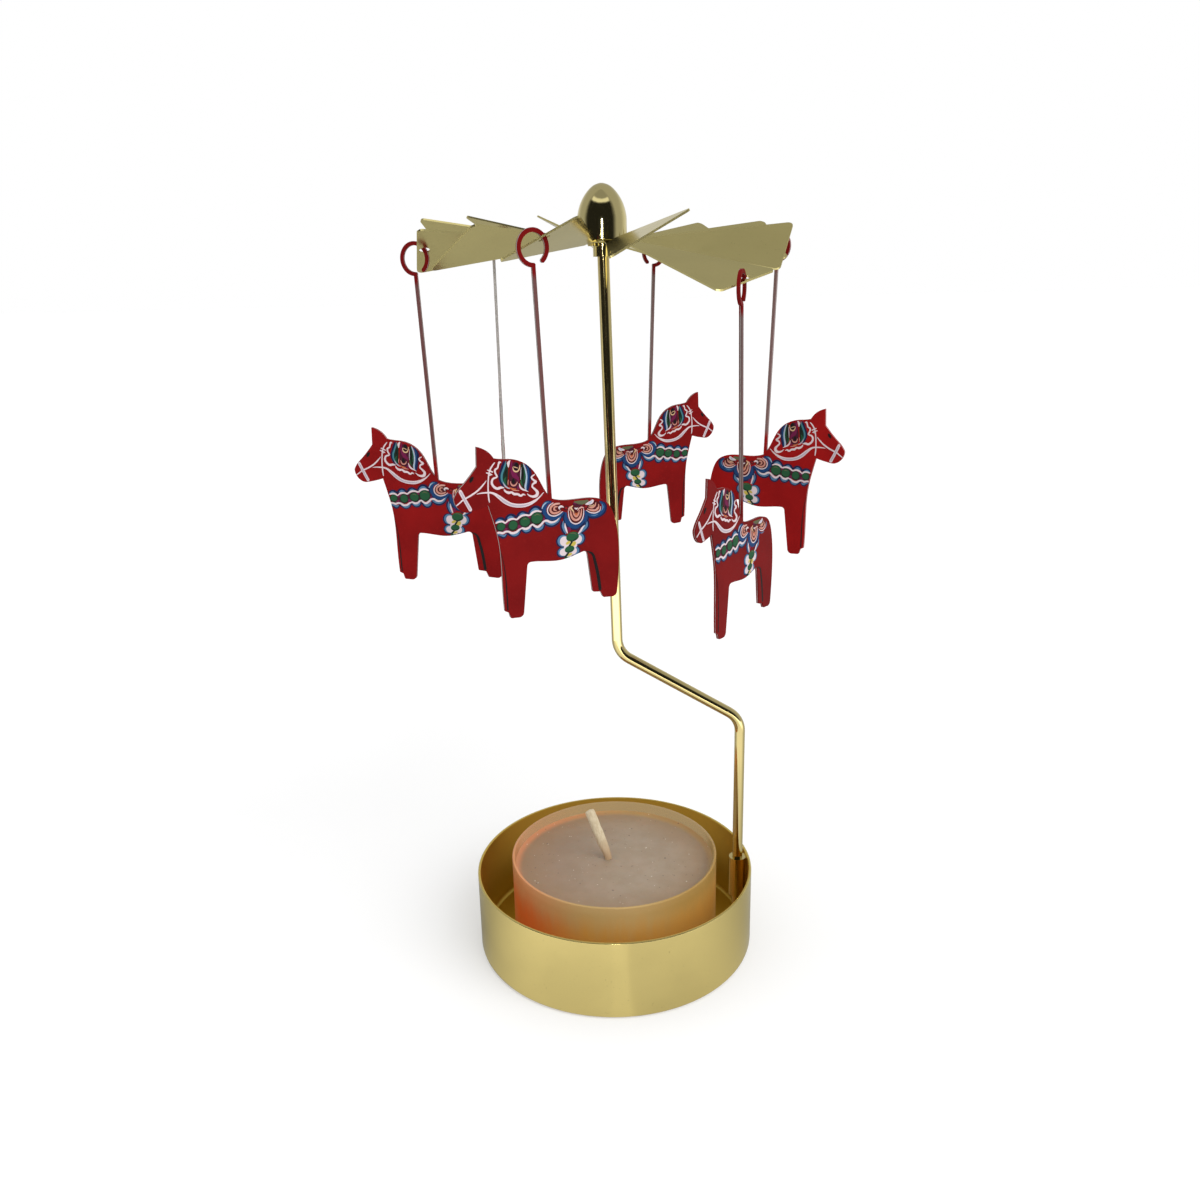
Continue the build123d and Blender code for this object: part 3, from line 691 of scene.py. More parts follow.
# %% Breast band strokes
breast_band = [
    ("navy", 0, [(1.44, -1.61, 0.3), (1.88, -1.1, 0.45), (2.53, -0.98, 0.55), (3.14, -1.32, 0.45),
        (3.5, -1.86, 0.3)]),
    ("navy", 0, [(3.49, -1.81, 0.3), (3.94, -1.6, 0.4), (4.49, -1.49, 0.5), (4.99, -1.72, 0.45),
        (5.35, -2.21, 0.3)]),
    ("navy", 0, [(5.35, -2.12, 0.3), (5.7, -1.81, 0.4), (6.24, -1.69, 0.5), (6.8, -1.98, 0.45),
        (7.11, -2.47, 0.3)]),
    ("navy", 0, [(7.06, -2.37, 0.3), (7.4, -2.06, 0.4), (7.9, -2, 0.45), (8.56, -2.29, 0.35)]),
    ("sky", 1, [(1.84, -1.45, 0.15), (2.38, -1.24, 0.42), (2.89, -1.43, 0.35), (3.24, -1.77, 0.15)]),
    ("sky", 1, [(3.9, -1.85, 0.12), (4.44, -1.69, 0.36), (4.9, -1.93, 0.2)]),
    ("sky", 1, [(5.7, -2.11, 0.12), (6.25, -1.94, 0.38), (6.7, -2.18, 0.22)]),
    ("sky", 1, [(7.36, -2.36, 0.12), (7.91, -2.2, 0.32), (8.46, -2.44, 0.12)]),
    ("white", 2, [(1.49, -1.73, 0.16), (2.24, -1.54, 0.3), (2.84, -1.68, 0.34), (3.35, -2.06, 0.28),
        (3.85, -1.93, 0.28), (4.45, -1.94, 0.32), (4.95, -2.17, 0.3), (5.31, -2.42, 0.24),
        (5.86, -2.25, 0.28), (6.46, -2.34, 0.34), (7.02, -2.72, 0.26), (7.46, -2.46, 0.28),
        (7.96, -2.43, 0.3), (8.51, -2.59, 0.2)]),
    ("navy", 0, [(-1.64, -2.69, 0.15), (-1.07, -3.53, 0.5), (-0.11, -3.95, 0.55), (0.68, -3.78, 0.4),
        (1.08, -3.42, 0.2)]),
    ("navy", 0, [(0.98, -3.58, 0.25), (1.39, -4.21, 0.45), (2, -4.45, 0.5), (2.59, -4.18, 0.4),
        (2.93, -3.73, 0.25)]),
    ("navy", 0, [(2.93, -3.73, 0.25), (3.29, -4.27, 0.4), (3.85, -4.45, 0.48), (4.39, -4.24, 0.4),
        (4.74, -3.93, 0.25)]),
    ("navy", 0, [(4.74, -4.03, 0.25), (5.1, -4.52, 0.42), (5.71, -4.76, 0.5), (6.35, -4.54, 0.42),
        (6.84, -4.23, 0.25)]),
    ("navy", 0, [(6.79, -4.23, 0.25), (7.1, -4.62, 0.4), (7.51, -4.76, 0.45), (7.9, -4.5, 0.35),
        (8.4, -4.29, 0.25)]),
    ("sky", 1, [(-1.49, -2.74, 0.1), (-0.93, -3.37, 0.4), (-0.07, -3.73, 0.42), (0.68, -3.53, 0.3),
        (1.07, -3.22, 0.15)]),
    ("sky", 1, [(1.23, -3.57, 0.12), (1.59, -4.11, 0.38), (2.09, -4.22, 0.4), (2.59, -3.93, 0.15)]),
    ("sky", 1, [(3.13, -3.77, 0.12), (3.49, -4.16, 0.34), (3.99, -4.25, 0.38), (4.49, -3.99, 0.15)]),
    ("sky", 1, [(4.94, -4.13, 0.12), (5.3, -4.5, 0.36), (5.85, -4.6, 0.4), (6.5, -4.29, 0.15)]),
    ("sky", 1, [(6.95, -4.28, 0.1), (7.3, -4.55, 0.34), (7.75, -4.41, 0.25), (8.3, -4.19, 0.12)]),
    ("white", 2, [(-1.24, -2.93, 0.08), (-0.63, -3.37, 0.26), (0.08, -3.45, 0.34),
        (0.72, -3.13, 0.34), (1.17, -3.17, 0.3), (1.63, -3.59, 0.34), (2.14, -3.88, 0.36),
        (2.58, -3.71, 0.32), (2.9, -3.43, 0.28), (3.18, -3.52, 0.28), (3.59, -3.86, 0.34),
        (4.09, -3.95, 0.36), (4.58, -3.74, 0.3), (4.99, -3.93, 0.3), (5.5, -4.26, 0.34),
        (6.1, -4.32, 0.36), (6.69, -4, 0.3), (7.09, -3.99, 0.3), (7.49, -4.14, 0.34), (7.99, -4, 0.3),
        (8.49, -4.04, 0.25)]),
    ("plum", 1, [(0.96, -2.52, 0.8), (2.46, -2.69, 1.9), (4.47, -2.94, 1.7), (6.47, -3.19, 1.5),
        (8.48, -3.29, 1.3)]),
    ("magenta", 2, (3.35, -2.29, 0.35, 0.22, -10)),
    ("magenta", 2, (6.72, -2.76, 0.36, 0.2, -30)),
    ("magenta", 2, (1.31, -2.87, 0.32, 0.24, -10)),
    ("magenta", 2, (4.96, -3.53, 0.36, 0.3, 25)),
    ("magenta", 2, (7.08, -3.65, 0.32, 0.22, -10)),
    ("dark_green", 3, (2.26, -2.61, 0.98, 0.98, 0)),
    ("dark_green", 3, (4.09, -2.93, 0.86, 0.84, 0)),
    ("dark_green", 3, (5.92, -3.23, 0.74, 0.82, 0)),
    ("dark_green", 3, (7.73, -3.21, 0.68, 0.68, 0)),
    ("green", 4, (2.24, -2.55, 0.86, 0.86, 0)),
    ("green", 4, (4.07, -2.87, 0.74, 0.72, 0)),
    ("green", 4, (5.9, -3.17, 0.63, 0.7, 0)),
    ("green", 4, (7.71, -3.16, 0.58, 0.57, 0)),
    ("moss", 5, [(1.75, -2.23, 0.05), (2.2, -2.01, 0.16), (2.65, -2.2, 0.05)]),
    ("moss", 5, [(3.71, -2.58, 0.05), (4.06, -2.43, 0.14), (4.41, -2.56, 0.05)]),
]
print("breast band strokes:", len(breast_band))

# %% Bridle strokes
bridle = [
    ("white", 1, [(1.04, 1.06, 0.1), (1.8, 0.35, 0.22), (2.71, -0.18, 0.42), (3.72, -0.48, 0.54),
        (4.92, -0.47, 0.55), (6.01, -0.2, 0.56), (6.9, 0.32, 0.6), (7.69, 1, 0.52),
        (8.38, 1.56, 0.36), (8.97, 1.83, 0.26), (9.77, 1.9, 0.22), (10.47, 1.9, 0.17),
        (11.03, 1.83, 0.08)]),
    ("lilac", 2, [(3.02, -0.35, 0.06), (4.32, -0.52, 0.24), (5.92, -0.25, 0.26), (7.1, 0.45, 0.3),
        (8.08, 1.35, 0.06)]),
    ("white", 2, [(8.14, 6.01, 0.14), (8.55, 5.57, 0.22), (8.86, 5.13, 0.24), (9.1, 4.48, 0.2),
        (9.24, 3.58, 0.2), (9.32, 2.59, 0.21), (9.33, 1.59, 0.22), (9.29, 0.88, 0.2),
        (9.23, 0.46, 0.12)]),
    ("white", 3, [(8.48, 4.67, 0.16), (8.91, 4.88, 0.2), (9.33, 5.07, 0.12)]),
    ("white", 3, [(8.63, 4.31, 0.16), (9.07, 4.53, 0.22), (9.52, 4.69, 0.12)]),
    ("white", 3, [(8.83, 4.29, 0.12), (9.18, 4.26, 0.14)]),
    ("white", 1, [(9.49, 3.61, 0.08), (10.05, 3, 0.22), (10.77, 2.37, 0.25), (11.57, 1.89, 0.26),
        (12.38, 1.51, 0.24), (12.99, 1.26, 0.22), (13.5, 0.89, 0.2), (14.21, 0.41, 0.14)]),
    ("white", 2, [(13.48, 2.69, 0.52), (12.74, 1.12, 0.5), (11.95, -0.47, 0.52)]),
    ("lilac", 3, [(13.35, 2.44, 0.2), (12.74, 1.12, 0.26), (12.07, -0.25, 0.24)]),
    ("black", 1, [(11.38, 4.32, 0.22), (11.65, 3.97, 0.52), (11.92, 3.53, 0.2)]),
]
print("bridle strokes:", len(bridle))

# %% Mane strokes
mane = [
    ("white", 2, [(2.28, 3.76, 0.14), (2.82, 3.4, 0.24), (2.57, 3, 0.28), (2.15, 2.66, 0.34),
        (2.64, 2.4, 0.28), (2.75, 2.04, 0.26), (2.33, 1.59, 0.32), (2, 1.15, 0.46), (2.14, 0.73, 0.5),
        (2.6, 0.6, 0.38), (3.14, 0.75, 0.24), (3.59, 1.12, 0.08)]),
    ("white", 2, [(3.81, 0.93, 0.08), (4.19, 1.08, 0.26), (4.51, 0.91, 0.3), (4.99, 1.2, 0.32),
        (5.53, 1.27, 0.38), (5.88, 1.56, 0.3), (6.28, 1.53, 0.38), (6.73, 1.74, 0.3),
        (7.02, 2.11, 0.18)]),
    ("white", 2, [(6.96, 2.31, 0.14), (7.46, 2.39, 0.36), (7.96, 2.3, 0.36), (8.46, 2.61, 0.34),
        (8.75, 3.17, 0.34), (8.56, 3.72, 0.3), (7.93, 3.97, 0.24), (8.15, 4.48, 0.26),
        (8.19, 4.96, 0.28), (7.79, 5.2, 0.24), (7.65, 5.65, 0.26), (7.47, 5.96, 0.3), (7.21, 5.9, 0.08)]),
    ("navy", 0, [(3.55, 5.29, 0.1), (3.07, 4.43, 0.5), (3.06, 3.63, 0.6), (3.23, 2.73, 0.55),
        (3.42, 1.94, 0.5), (3.48, 1.39, 0.15)]),
    ("blue", 1, [(3.7, 5.3, 0.08), (3.32, 4.54, 0.34), (3.3, 3.64, 0.36), (3.46, 2.64, 0.32),
        (3.6, 1.64, 0.12)]),
    ("pale_blue", 2, [(3.95, 5.45, 0.14), (3.7, 4.65, 0.22), (3.55, 3.74, 0.25), (3.63, 2.84, 0.26),
        (3.79, 2.15, 0.3), (3.73, 1.6, 0.12)]),
    ("dark_green", 1, [(4.25, 5.54, 0.14), (4.02, 4.66, 0.62), (4.02, 3.65, 0.8), (4.17, 2.76, 0.7),
        (4.12, 2.21, 0.32), (3.99, 1.87, 0.06)]),
    ("green", 2, [(3.83, 4.75, 0.05), (3.81, 3.85, 0.24), (3.95, 2.85, 0.08)]),
    ("green", 2, [(4.34, 3.36, 0.06), (4.4, 2.81, 0.28), (4.22, 2.31, 0.1)]),
    ("black", 2, [(4.13, 4.96, 0.06), (4.13, 3.86, 0.24), (4.25, 3.06, 0.06)]),
    ("lilac", 3, [(4.31, 4.96, 0.05), (4.41, 4.06, 0.14), (4.47, 3.17, 0.05)]),
    ("white", 2, [(4.71, 2.72, 0.06), (4.57, 2.19, 0.24), (4.27, 1.84, 0.26), (3.83, 1.63, 0.2),
        (3.38, 1.39, 0.06)]),
    ("plum", 0, [(5.04, 5.78, 0.9), (5.21, 5.08, 1.35), (5.33, 4.09, 1.7), (5.4, 3.09, 1.6),
        (5.46, 2.39, 1.3), (5.42, 1.84, 0.7)]),
    ("magenta", 1, [(5.61, 6, 0.15), (5.75, 5.3, 0.32), (5.67, 4.5, 0.42), (5.38, 3.94, 0.7),
        (4.89, 3.43, 0.4), (4.8, 2.97, 0.1)]),
    ("magenta", 2, [(4.93, 4.18, 0.08), (5.28, 4.04, 0.26), (5.63, 4.14, 0.08)]),
    ("black", 1, [(4.95, 5.68, 0.35), (5, 5.33, 0.7), (5.11, 5.03, 0.3)]),
    ("black", 2, [(4.8, 4.67, 0.05), (5.11, 4.74, 0.28), (5.41, 4.87, 0.05)]),
    ("cream", 3, [(4.48, 5.32, 0.08), (4.57, 4.82, 0.16), (4.82, 4.47, 0.2), (5.17, 4.43, 0.22),
        (5.47, 4.69, 0.18), (5.55, 5.11, 0.08)]),
    ("cream", 3, [(4.76, 4.87, 0.05), (5.16, 5.03, 0.13), (5.51, 5.15, 0.06)]),
    ("black", 2, [(5.56, 3.54, 0.12), (5.55, 3.14, 0.5), (5.51, 2.74, 0.3)]),
    ("salmon", 3, [(4.97, 2.98, 0.08), (5.16, 2.63, 0.18), (5.51, 2.47, 0.24), (5.86, 2.65, 0.2),
        (6.01, 3.15, 0.08)]),
    ("orange", 2, [(5.17, 1.96, 0.08), (5.67, 2, 0.26), (6.21, 2.29, 0.08)]),
    ("salmon", 2, [(4.73, 1.69, 0.06), (5.27, 1.76, 0.14), (5.82, 1.88, 0.06)]),
    ("magenta", 2, (4.87, 2.08, 0.28, 0.16, 80)),
    ("white", 1, [(5.89, 6.1, 0.1), (6.16, 5.71, 0.42), (6.19, 5.11, 0.1)]),
    ("navy", 0, [(6.74, 6.12, 0.15), (6.95, 5.53, 0.45), (7.27, 4.74, 0.45), (7.51, 4.04, 0.45),
        (7.46, 3.34, 0.4), (7.21, 2.73, 0.28), (6.86, 2.38, 0.1)]),
    ("dark_green", 1, [(6.42, 5.67, 0.08), (6.53, 4.92, 0.6), (6.71, 4.12, 0.85), (6.76, 3.32, 0.75),
        (6.6, 2.82, 0.42), (6.46, 2.5, 0.08)]),
    ("green", 2, [(6.61, 3.82, 0.06), (6.86, 3.38, 0.3), (6.7, 2.82, 0.1)]),
    ("black", 2, [(6.41, 4.86, 0.05), (6.62, 4.47, 0.2), (6.55, 3.82, 0.05)]),
    ("teal", 2, [(6.49, 6.07, 0.08), (6.66, 5.52, 0.26), (6.96, 4.83, 0.3), (7.23, 4.13, 0.33),
        (7.24, 3.44, 0.3), (7, 2.93, 0.24), (6.66, 2.57, 0.1)]),
    ("lilac", 3, [(7.1, 3.13, 0.05), (6.86, 2.62, 0.16), (6.46, 2.27, 0.2), (6.12, 2.11, 0.08)]),
    ("salmon", 3, [(6.26, 3.41, 0.04), (6.37, 3.01, 0.12), (6.36, 2.61, 0.04)]),
]
print("mane strokes:", len(mane))

# %% Lines between the legs
legs = [
    ("black", 1, [(-5.36, -8.44, 0.06), (-6.33, -8.97, 0.38),
        (-6.77, -10.33, 0.48), (-7.19, -12.35, 0.52), (-7.5, -14.85, 0.5)]),
    ("black", 1, [(8.07, -6.37, 0.04), (7.63, -8.21, 0.1),
        (7.37, -10.94, 0.16), (7.31, -13.96, 0.2), (7.29, -15.7, 0.22)]),
]
strokes = saddle + girth + breast_band + bridle + mane + legs
print("strokes on each face:", len(strokes))

# %% [markdown]
# ## Laying the strokes on the plates
# A stroke is a ribbon: a smooth curve through its points, with a width that is carried along it. Five
# points across give it a thin raised body with its edges sunk into the plate, so paint has a real
# thickness and overlapping layers never lie in one plane. Where a stroke would pass the plate's edge,
# its points are drawn back onto the plate, as a brush that runs off the edge leaves paint only on the
# plate.

# %% From points to a ribbon
# The points across a stroke in half widths, and then sizes in mm.
spread = np.array([-1.0, -0.9, 0.0, 0.9, 1.0])
sunk = -0.01
crown = 0.004
least_radius = 0.03
least_half_width = 0.01
dab_points = 15


def curve(rows, count):
    """A Hermite curve through rows of x, y, width, with chord lengths under a root as its clock.

    Between two rows a and b it is a(2u^3-3u^2+1) + b(3u^2-2u^3) + slopes times (u^3-2u^2+u) and (u^3-u^2).
    """
    clock = np.r_[0, np.cumsum(np.linalg.norm(np.diff(rows[:, :2], axis=0), axis=1) ** 0.5)]
    slopes = np.gradient(rows, clock, axis=0)
    when = (1 - np.cos(np.pi * np.linspace(0, 1, count))) / 2 * clock[-1]
    part = np.clip(np.searchsorted(clock, when, side="right") - 1, 0, len(clock) - 2)
    length = (clock[part + 1] - clock[part])[:, None]
    u = (when - clock[part])[:, None] / length
    start = rows[part] * (2 * u**3 - 3 * u**2 + 1) + slopes[part] * length * (u**3 - 2 * u**2 + u)
    return start + rows[part + 1] * (3 * u**2 - 2 * u**3) + slopes[part + 1] * length * (u**3 - u**2)


def ribbon(shape, level):
    """A stroke's grid of x, y and height in mm: the curve moved sideways by the width, rounded at its ends.

    The end is an ellipse: half width times root(1 - (1 - distance to the end / r)^2).
    """
    if isinstance(shape, tuple):
        x, y, long, wide, turn = shape
        reach = long * np.array([np.cos(np.radians(turn)), np.sin(np.radians(turn))])
        share = (1 - np.cos(np.pi * np.linspace(0, 1, dab_points))) / 2
        line = np.column_stack([[x, y] - reach + np.outer(2 * share, reach), np.full(dab_points, 2 * wide)])
        radius = long
    else:
        line = curve(np.array(shape), 4 + 4 * len(shape))
        radius = max(abs(line[[0, -1], 2]).max() / 2, least_radius)
    steps = np.gradient(line[:, :2], axis=0)
    steps /= np.linalg.norm(steps, axis=1, keepdims=True) + 1e-9
    run = np.r_[0, np.cumsum(np.linalg.norm(np.diff(line[:, :2], axis=0), axis=1))]
    near = np.clip(1 - np.minimum(run, run[-1] - run) / radius, 0, 1)
    half = np.maximum(abs(line[:, 2]) / 2 * np.sqrt(1 - near**2), least_half_width)
    side = np.column_stack([-steps[:, 1], steps[:, 0]]) * half[:, None]
    height = np.tile([sunk, level, level + crown, level, sunk], (len(line), 1))
    height[[0, -1]] = sunk
    flat = line[:, None, :2] + spread[None, :, None] * side[:, None, :]
    return np.concatenate([flat, height[:, :, None]], axis=2)


first_level = 0.008
layer_step = 0.012
stroke_step = 0.00005
heights = [first_level + layer_step * layer + stroke_step * k for k, (_, layer, _) in enumerate(strokes)]
grids = [ribbon(shape, level) for (_, _, shape), level in zip(strokes, heights)]
print("points of paint on each face:", sum(len(grid) * len(spread) for grid in grids))

# %% Keep the paint on the plate
def keep_on(flat, outline, margin=0.05):
    """Points outside the outline move to its nearest point and a margin further in.

    A point is inside if a ray from it along +x crosses an odd number of edges.
    """
    a, b = outline[:, 0], outline[:, 1]
    x, y = flat[:, :1], flat[:, 1:]
    spans = (a[:, 1] > y) != (b[:, 1] > y)
    rise = np.where(a[:, 1] == b[:, 1], 1e-9, b[:, 1] - a[:, 1])
    inside = (spans & (x < a[:, 0] + (y - a[:, 1]) * (b[:, 0] - a[:, 0]) / rise)).sum(axis=1) % 2 == 1
    out = flat[~inside]
    along = b - a
    share = ((out[:, None] - a) * along).sum(axis=2) / ((along**2).sum(axis=1) + 1e-12)
    foot = a + np.clip(share, 0, 1)[:, :, None] * along
    gap = np.linalg.norm(foot - out[:, None], axis=2)
    best = foot[np.arange(len(out)), gap.argmin(axis=1)]
    inward = (best - out) / (gap.min(axis=1)[:, None] + 1e-9)
    kept = flat.copy()
    kept[~inside] = best + margin * inward
    return kept


def paint(node):
    """All strokes on both faces of one plate, as one mesh whose material slots are the colours."""
    found = plates[node]
    every = np.concatenate([grid.reshape(-1, 3) for grid in grids])
    every[:, :2] = keep_on(every[:, :2], found["outline"])
    row = len(spread)
    starts = np.cumsum([0] + [len(grid) * row for grid in grids])
    quads = []
    colours = []
    names = sorted({colour for colour, _, _ in strokes})
    for start, grid, (colour, _, _) in zip(starts, grids, strokes):
        first = start + (np.arange(len(grid) - 1)[:, None] * row + np.arange(row - 1)).ravel()
        quads.append(np.column_stack([first, first + row, first + row + 1, first + 1]))
        colours.append(np.full(len(first), names.index(colour)))
    quads = np.concatenate(quads)
    place = found["eye"] + np.outer(every[:, 0] + withers[0], found["nose"])
    place[:, 2] += every[:, 1] + withers[1]
    front = place + np.outer(found["levels"][0] + every[:, 2], found["normal"])
    back = place + np.outer(found["levels"][1] - every[:, 2], found["normal"])
    mesh = bpy.data.meshes.new(f"{node}_harness")
    faces = np.concatenate([quads, quads[:, ::-1] + len(every)])
    mesh.from_pydata(np.concatenate([front, back]) / 1000, [], faces)
    mesh.polygons.foreach_set("material_index", np.concatenate(colours + colours).astype(np.int32))
    for name in names:
        mesh.materials.append(enamels[name])
    piece = add_object(f"{node}_harness", mesh)
    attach(piece, node)
    return len(faces)


painted = {node: paint(node) for node in plates}
print("faces of paint:", painted)

# %% [markdown]
# ## The candle
# The tealight is a clear cup filled with pale amber wax. Wax creeps up the wall and the wick as it
# sets, so its top is not flat: it has a small raised curve at both. The wax is a half profile turned
# about the candle's axis, and the wick is a ring of three strands that turns as it is carried along the
# wick's bent path, thinner and darker where wax has soaked it. Both are closed shells, so one function
# joins their rings.

# %% Join rings into a shell
def shell(name, rings):
    """A closed mesh from rings of points, counter-clockwise from the far end, with a point at each end."""
    count, points = rings.shape[:2]
    first = np.arange(points)
    following = np.roll(first, -1)
    lower = np.arange(count - 1)[:, None] * points
    upper = lower + points
    quads = np.stack([lower + first, lower + following, upper + following, upper + first], axis=2)
    tip = count * points
    bottom = np.column_stack([following, first, np.full(points, tip)])
    top = np.column_stack([first, following, np.full(points, 0)]) + (count - 1) * points
    top[:, 2] = tip + 1
    places = np.concatenate([rings.reshape(-1, 3), rings[[0, -1]].mean(axis=1)])
    faces = quads.reshape(-1, 4).tolist() + bottom.tolist() + top.tolist()
    mesh = bpy.data.meshes.new(name)
    mesh.from_pydata(places, [], faces)
    mesh.polygons.foreach_set("use_smooth", np.ones(len(faces), dtype=bool))
    return add_object(name, mesh)


turn = np.linspace(0, 2 * np.pi, 128, endpoint=False)
circle = np.stack([np.cos(turn), np.sin(turn)], axis=1)
print("points round the wax:", len(circle))

# %% Wax
wax_low, wax_high = (1000 * np.array(corner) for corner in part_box("tealight_wax"))
wax_radius = (wax_high - wax_low)[0] / 2
wax_middle = (wax_high + wax_low)[:2] / 2
wax_top = wax_high[2]
foot_inset = 0.3


def wax_profile():
    """Radius and height from the bottom's middle out, up the wall and back in over the top.

    The top is a shallow dish plus two raised curves that fade with the distance from the wall and the wick.
    """
    inward = wax_radius * (1 - np.linspace(0, 1, 90) ** 1.5)[:-1]
    dish = -0.30 + 0.10 * (inward / wax_radius) ** 2
    crept = 0.55 * np.exp((inward - wax_radius) / 0.5) + 0.30 * np.exp(-inward / 1.1)
    side = np.linspace(wax_low[2] + foot_inset, wax_top + dish[0] + crept[0], 24)[:-1]
    foot = np.array([[foot_inset, wax_low[2]], [wax_radius - foot_inset, wax_low[2]]])
    wall = np.column_stack([np.full(len(side), wax_radius), side])
    return np.concatenate([foot, wall, np.column_stack([inward, wax_top + dish + crept])])


profile = wax_profile()
wax_rings = np.empty((len(profile), len(circle), 3))
wax_rings[:, :, :2] = wax_middle + profile[:, None, :1] * circle
wax_rings[:, :, 2] = profile[:, 1:]
wax = shell("wax", wax_rings / 1000)
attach(wax, "tealight")
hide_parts("tealight_wax")
print("wax radius", round(wax_radius, 2), "mm, top at", round(wax_top, 2), "mm")

# %% Wax finish
wax_finish, graph, shader = finish("candle_wax", Subsurface_Weight=0.2, Subsurface_Scale=0.002)
height = (graph.axis("Z") - wax_low[2] / 1000) / ((wax_top - wax_low[2]) / 1000)
up = graph.along(graph.place("Normal"), (0, 0, 1)).step(0.35, 0.8)
left = graph.along(graph.place("Normal"), (-0.92, -0.38, 0)).step(0.45, 0.95)
from_left = graph.axis("X").step(-0.016, 0.004)
from_middle = graph.from_axis(*(wax_middle / 1000).tolist())
cloud = graph.noise(150.0, 4.0, 0.6)
drift = graph.noise(420.0, 3.0, 0.6)
dark_specks = graph.noise(1500.0, 1.0).step(0.72, 0.78)
bright_specks = graph.noise(1900.0, 1.0).step(0.76, 0.81)

# The colour of painted glow for the ring where the top meets the wall, oranger on the left.
warm = graph.blend(from_left, tone(188, 126, 86), tone(168, 134, 84))
surface = graph.blend(cloud.step(0.35, 0.65), tone(150, 132, 111), tone(158, 140, 120))
surface = graph.blend(drift.step(0.4, 0.7) * 0.3, surface, tone(145, 125, 103))
# Painted shade: the top is darker and browner towards the left.
surface = graph.blend((1 - from_left) * 0.6, surface, tone(136, 106, 84))
# Towards the wall the top turns warmer and darker, and at the wall it takes the painted glow.
surface = graph.blend(from_middle.step(0.009, 0.0180) * 0.5, surface, tone(148, 116, 80))
surface = graph.blend(from_middle.step(0.0172, 0.0184), surface, warm)
surface = graph.blend(dark_specks * 0.7, surface, tone(92, 74, 66))
surface = graph.blend(bright_specks * 0.8, surface, tone(232, 222, 206))
# The side is painted glow of light through the wax: deeper amber lower down as painted shade, and orange on
# the side that faces left.
body = graph.blend(height.step(0.2, 0.95), tone(178, 124, 50), tone(192, 156, 98))
glow = graph.blend(height.step(0.2, 1.0), tone(196, 84, 38), tone(208, 140, 86))
body = graph.blend(left, body, glow)
graph.plug(shader["Base Color"], graph.blend(up, body, surface))
graph.plug(shader["Roughness"], 0.42 + drift * 0.2)
graph.plug(shader["Normal"], graph.bump(drift * 0.7 + bright_specks * 0.3, 0.00006))
wax.data.materials.append(wax_finish)
print("wax finish:", wax_finish.name)

# %% Wick
# In mm. The strands turn once in a pitch, and the tip is rounded over its worn length.
corner = np.array([-1.1, 1.7, 14.9])
tip = np.array([-4.6, 4.0, 23.8])
slope = (tip - corner) / np.linalg.norm(tip - corner)
wick_half_width = 0.95
wick_half_depth = 0.72
strands = 3
pitch = 9.0
worn_length = 0.45
soaked_length = 3.0


def wick_path():
    """Straight up, round the bend on a quadratic curve, then straight to the tip."""
    foot = np.array([-0.6, 1.4, 1.6])
    bend = np.linspace(0, 1, 9)[:, None]
    before = corner - [0, 0, 0.9]
    after = corner + 0.6 * slope
    round_it = before * (1 - bend) ** 2 + 2 * corner * bend * (1 - bend) + after * bend**2
    up = foot + np.linspace(0, 1, 24)[:-1, None] * (before - foot)
    lean = after + np.linspace(0, 1, 50)[1:, None] * (tip - after)
    return np.concatenate([up, round_it, lean])


path = wick_path()
forward = np.gradient(path, axis=0)
forward /= np.linalg.norm(forward, axis=1, keepdims=True)
sideways = np.cross(forward, [0.3, -1.0, 0.0])
sideways /= np.linalg.norm(sideways, axis=1, keepdims=True)
other = np.cross(forward, sideways)
run = np.r_[0, np.cumsum(np.linalg.norm(np.diff(path, axis=0), axis=1))]
angle = np.linspace(0, 2 * np.pi, 36, endpoint=False)
strand = np.abs(np.cos(strands / 2 * (angle + 2 * np.pi * run[:, None] / pitch)))
worn = np.sqrt(np.clip(1 - np.clip(1 - (run[-1] - run) / worn_length, 0, 1) ** 2, 0.02, 1))
dry = np.clip((path[:, 2] - wax_top) / soaked_length, 0, 1)
radius = (0.94 + 0.06 * strand) * (worn * (0.72 + 0.28 * dry))[:, None]
wick_rings = path[:, None] + radius[:, :, None] * (
    wick_half_width * np.cos(angle)[None, :, None] * sideways[:, None]
    + wick_half_depth * np.sin(angle)[None, :, None] * other[:, None]
)
wick = shell("wick", wick_rings / 1000)
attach(wick, "tealight")
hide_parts("tealight_wick")
print("wick length in mm:", round(run[-1], 1))

# %% Wick finish
wick_finish, graph, shader = finish("waxed_cotton")
fibre = graph.noise(1.0, 3.0, 0.6, graph.stretched(3000, 3000, 700))
cotton = graph.blend(fibre.step(0.3, 0.7), tone(190, 173, 142), tone(206, 192, 163))
above_wax = graph.axis("Z").step(wax_top / 1000, wax_top / 1000 + 0.005)
graph.plug(shader["Base Color"], graph.blend(above_wax, tone(172, 144, 112), cotton))
graph.plug(shader["Roughness"], 0.6 + fibre * 0.25)
graph.plug(shader["Normal"], graph.bump(fibre, 0.00001))
wick.data.materials.append(wick_finish)
print("wick finish:", wick_finish.name)

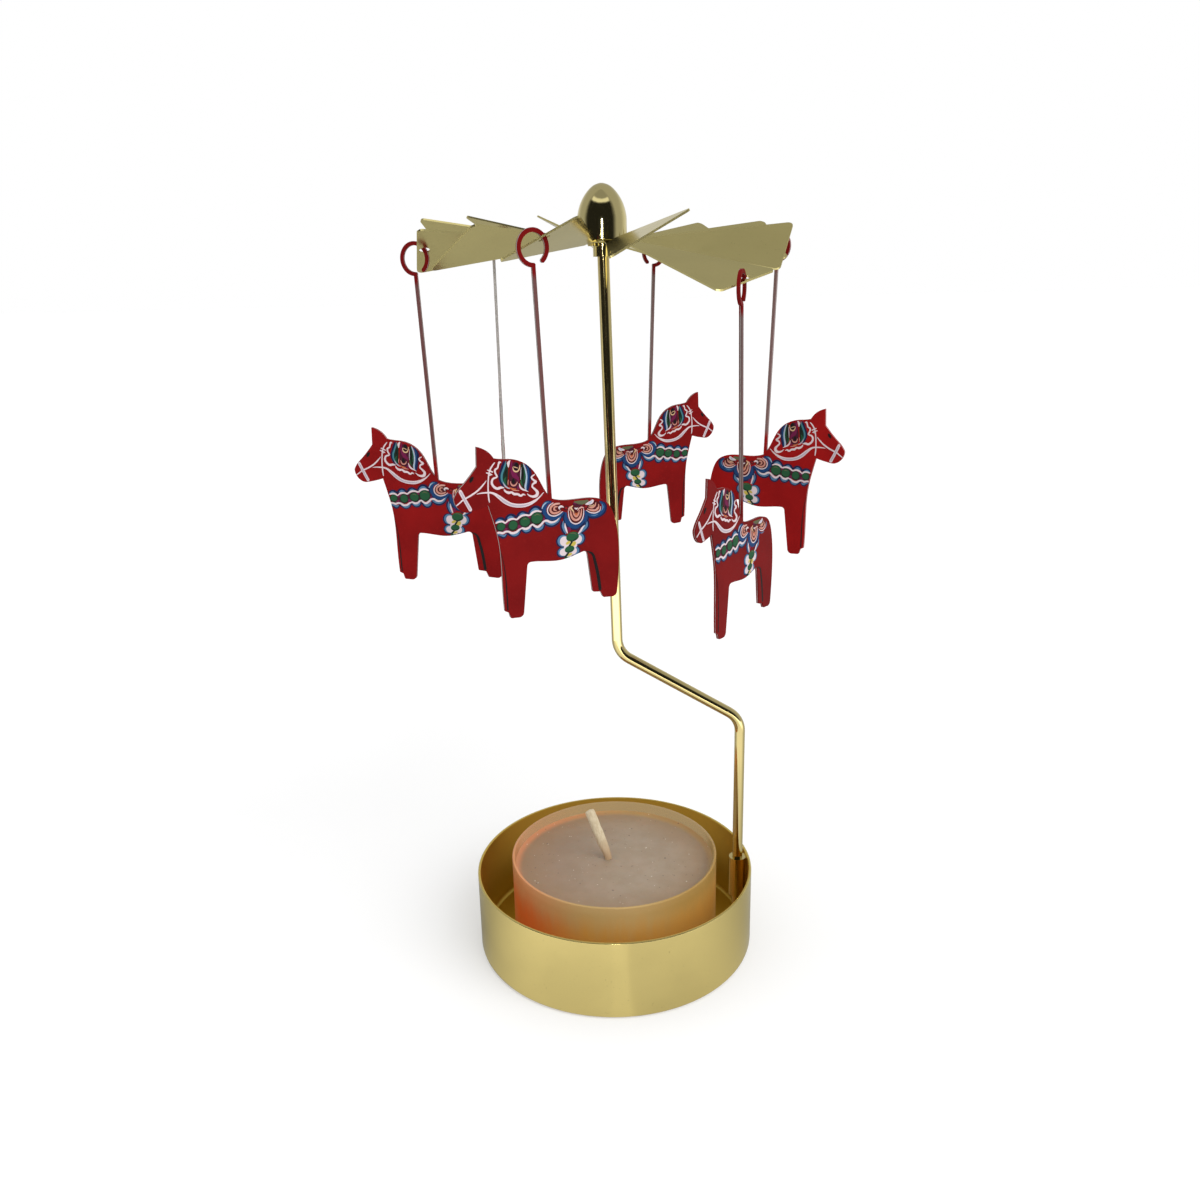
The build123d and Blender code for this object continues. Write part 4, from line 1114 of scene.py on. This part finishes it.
# %% [markdown]
# ## The candle's cup
# The candle's cup is thin moulded plastic. Light passes through its wall and through the wax behind it,
# so the two glow as one: pale under the rim, deeper amber lower down and redder towards the left, where
# the least daylight reaches. Tracing that light through solid wax is slow and noisy, so a faint light
# of the wall's own stands for it. Its gloss is broken by moulding ripples and handling marks. It stays
# the CAD's own piece and only gets this finish, a little see-through.

# %% Glowing plastic
clear, graph, shader = finish("clear_plastic", IOR=1.46, Emission_Strength=1.0)
cup_floor, cup_rim = (float(corner[2]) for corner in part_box("tealight_cup"))
height = (graph.axis("Z") - cup_floor) / (cup_rim - cup_floor)
side = graph.axis("X")
right = side.step(-0.018, -0.004)
far = graph.axis("Y").step(-0.004, 0.014)
outer = graph.from_axis().step(wax_radius / 1000 + 0.0001, wax_radius / 1000 + 0.0003)
smears = graph.noise(1.0, 3.0, 0.6, graph.stretched(420, 420, 90))
marks = graph.noise(900.0, 3.0, 0.6).step(0.55, 0.8)
pale = (height + smears * 0.36).step(0.70, 1.10)

# The wall's colours are painted glow and shade too: pale under the rim, deeper amber lower down and redder
# on the left, and browner on the far side.
upper = graph.blend(side.step(0.002, 0.014), tone(190, 158, 102), tone(172, 136, 72))
amber = graph.blend(pale, tone(190, 132, 54), upper)
orange = graph.blend(pale, tone(206, 84, 36), tone(208, 142, 98))
hidden = graph.blend(right, tone(146, 78, 40), tone(118, 88, 36))
graph.plug(shader["Base Color"], graph.blend(far, graph.blend(right, orange, amber), hidden))

amber_light = graph.blend(pale, (0.12, 0.068, 0.016, 1), (0.04, 0.03, 0.01, 1))
orange_light = graph.blend(pale, (0.18, 0.045, 0.008, 1), (0.08, 0.04, 0.01, 1))
# The far side's outer face glows brighter: painted light that the gold cup's inner wall shows as a painted
# reflection.
hidden_light = graph.blend(outer, (0.03, 0.022, 0.01, 1), (0.30, 0.25, 0.16, 1))
front_light = graph.blend(right, orange_light, amber_light)
graph.plug(shader["Emission Color"], graph.blend(far, front_light, hidden_light))
graph.plug(shader["Alpha"], 0.8 - height.step(0.8, 0.95) * 0.1 + marks * 0.05 - far * 0.28)
graph.plug(shader["Roughness"], 0.36 + marks * 0.1)
graph.plug(shader["Normal"], graph.bump(smears, 0.00001))
dress("tealight_cup", clear)
print("candle cup from", round(1000 * cup_floor, 2), "to", round(1000 * cup_rim, 2), "mm")
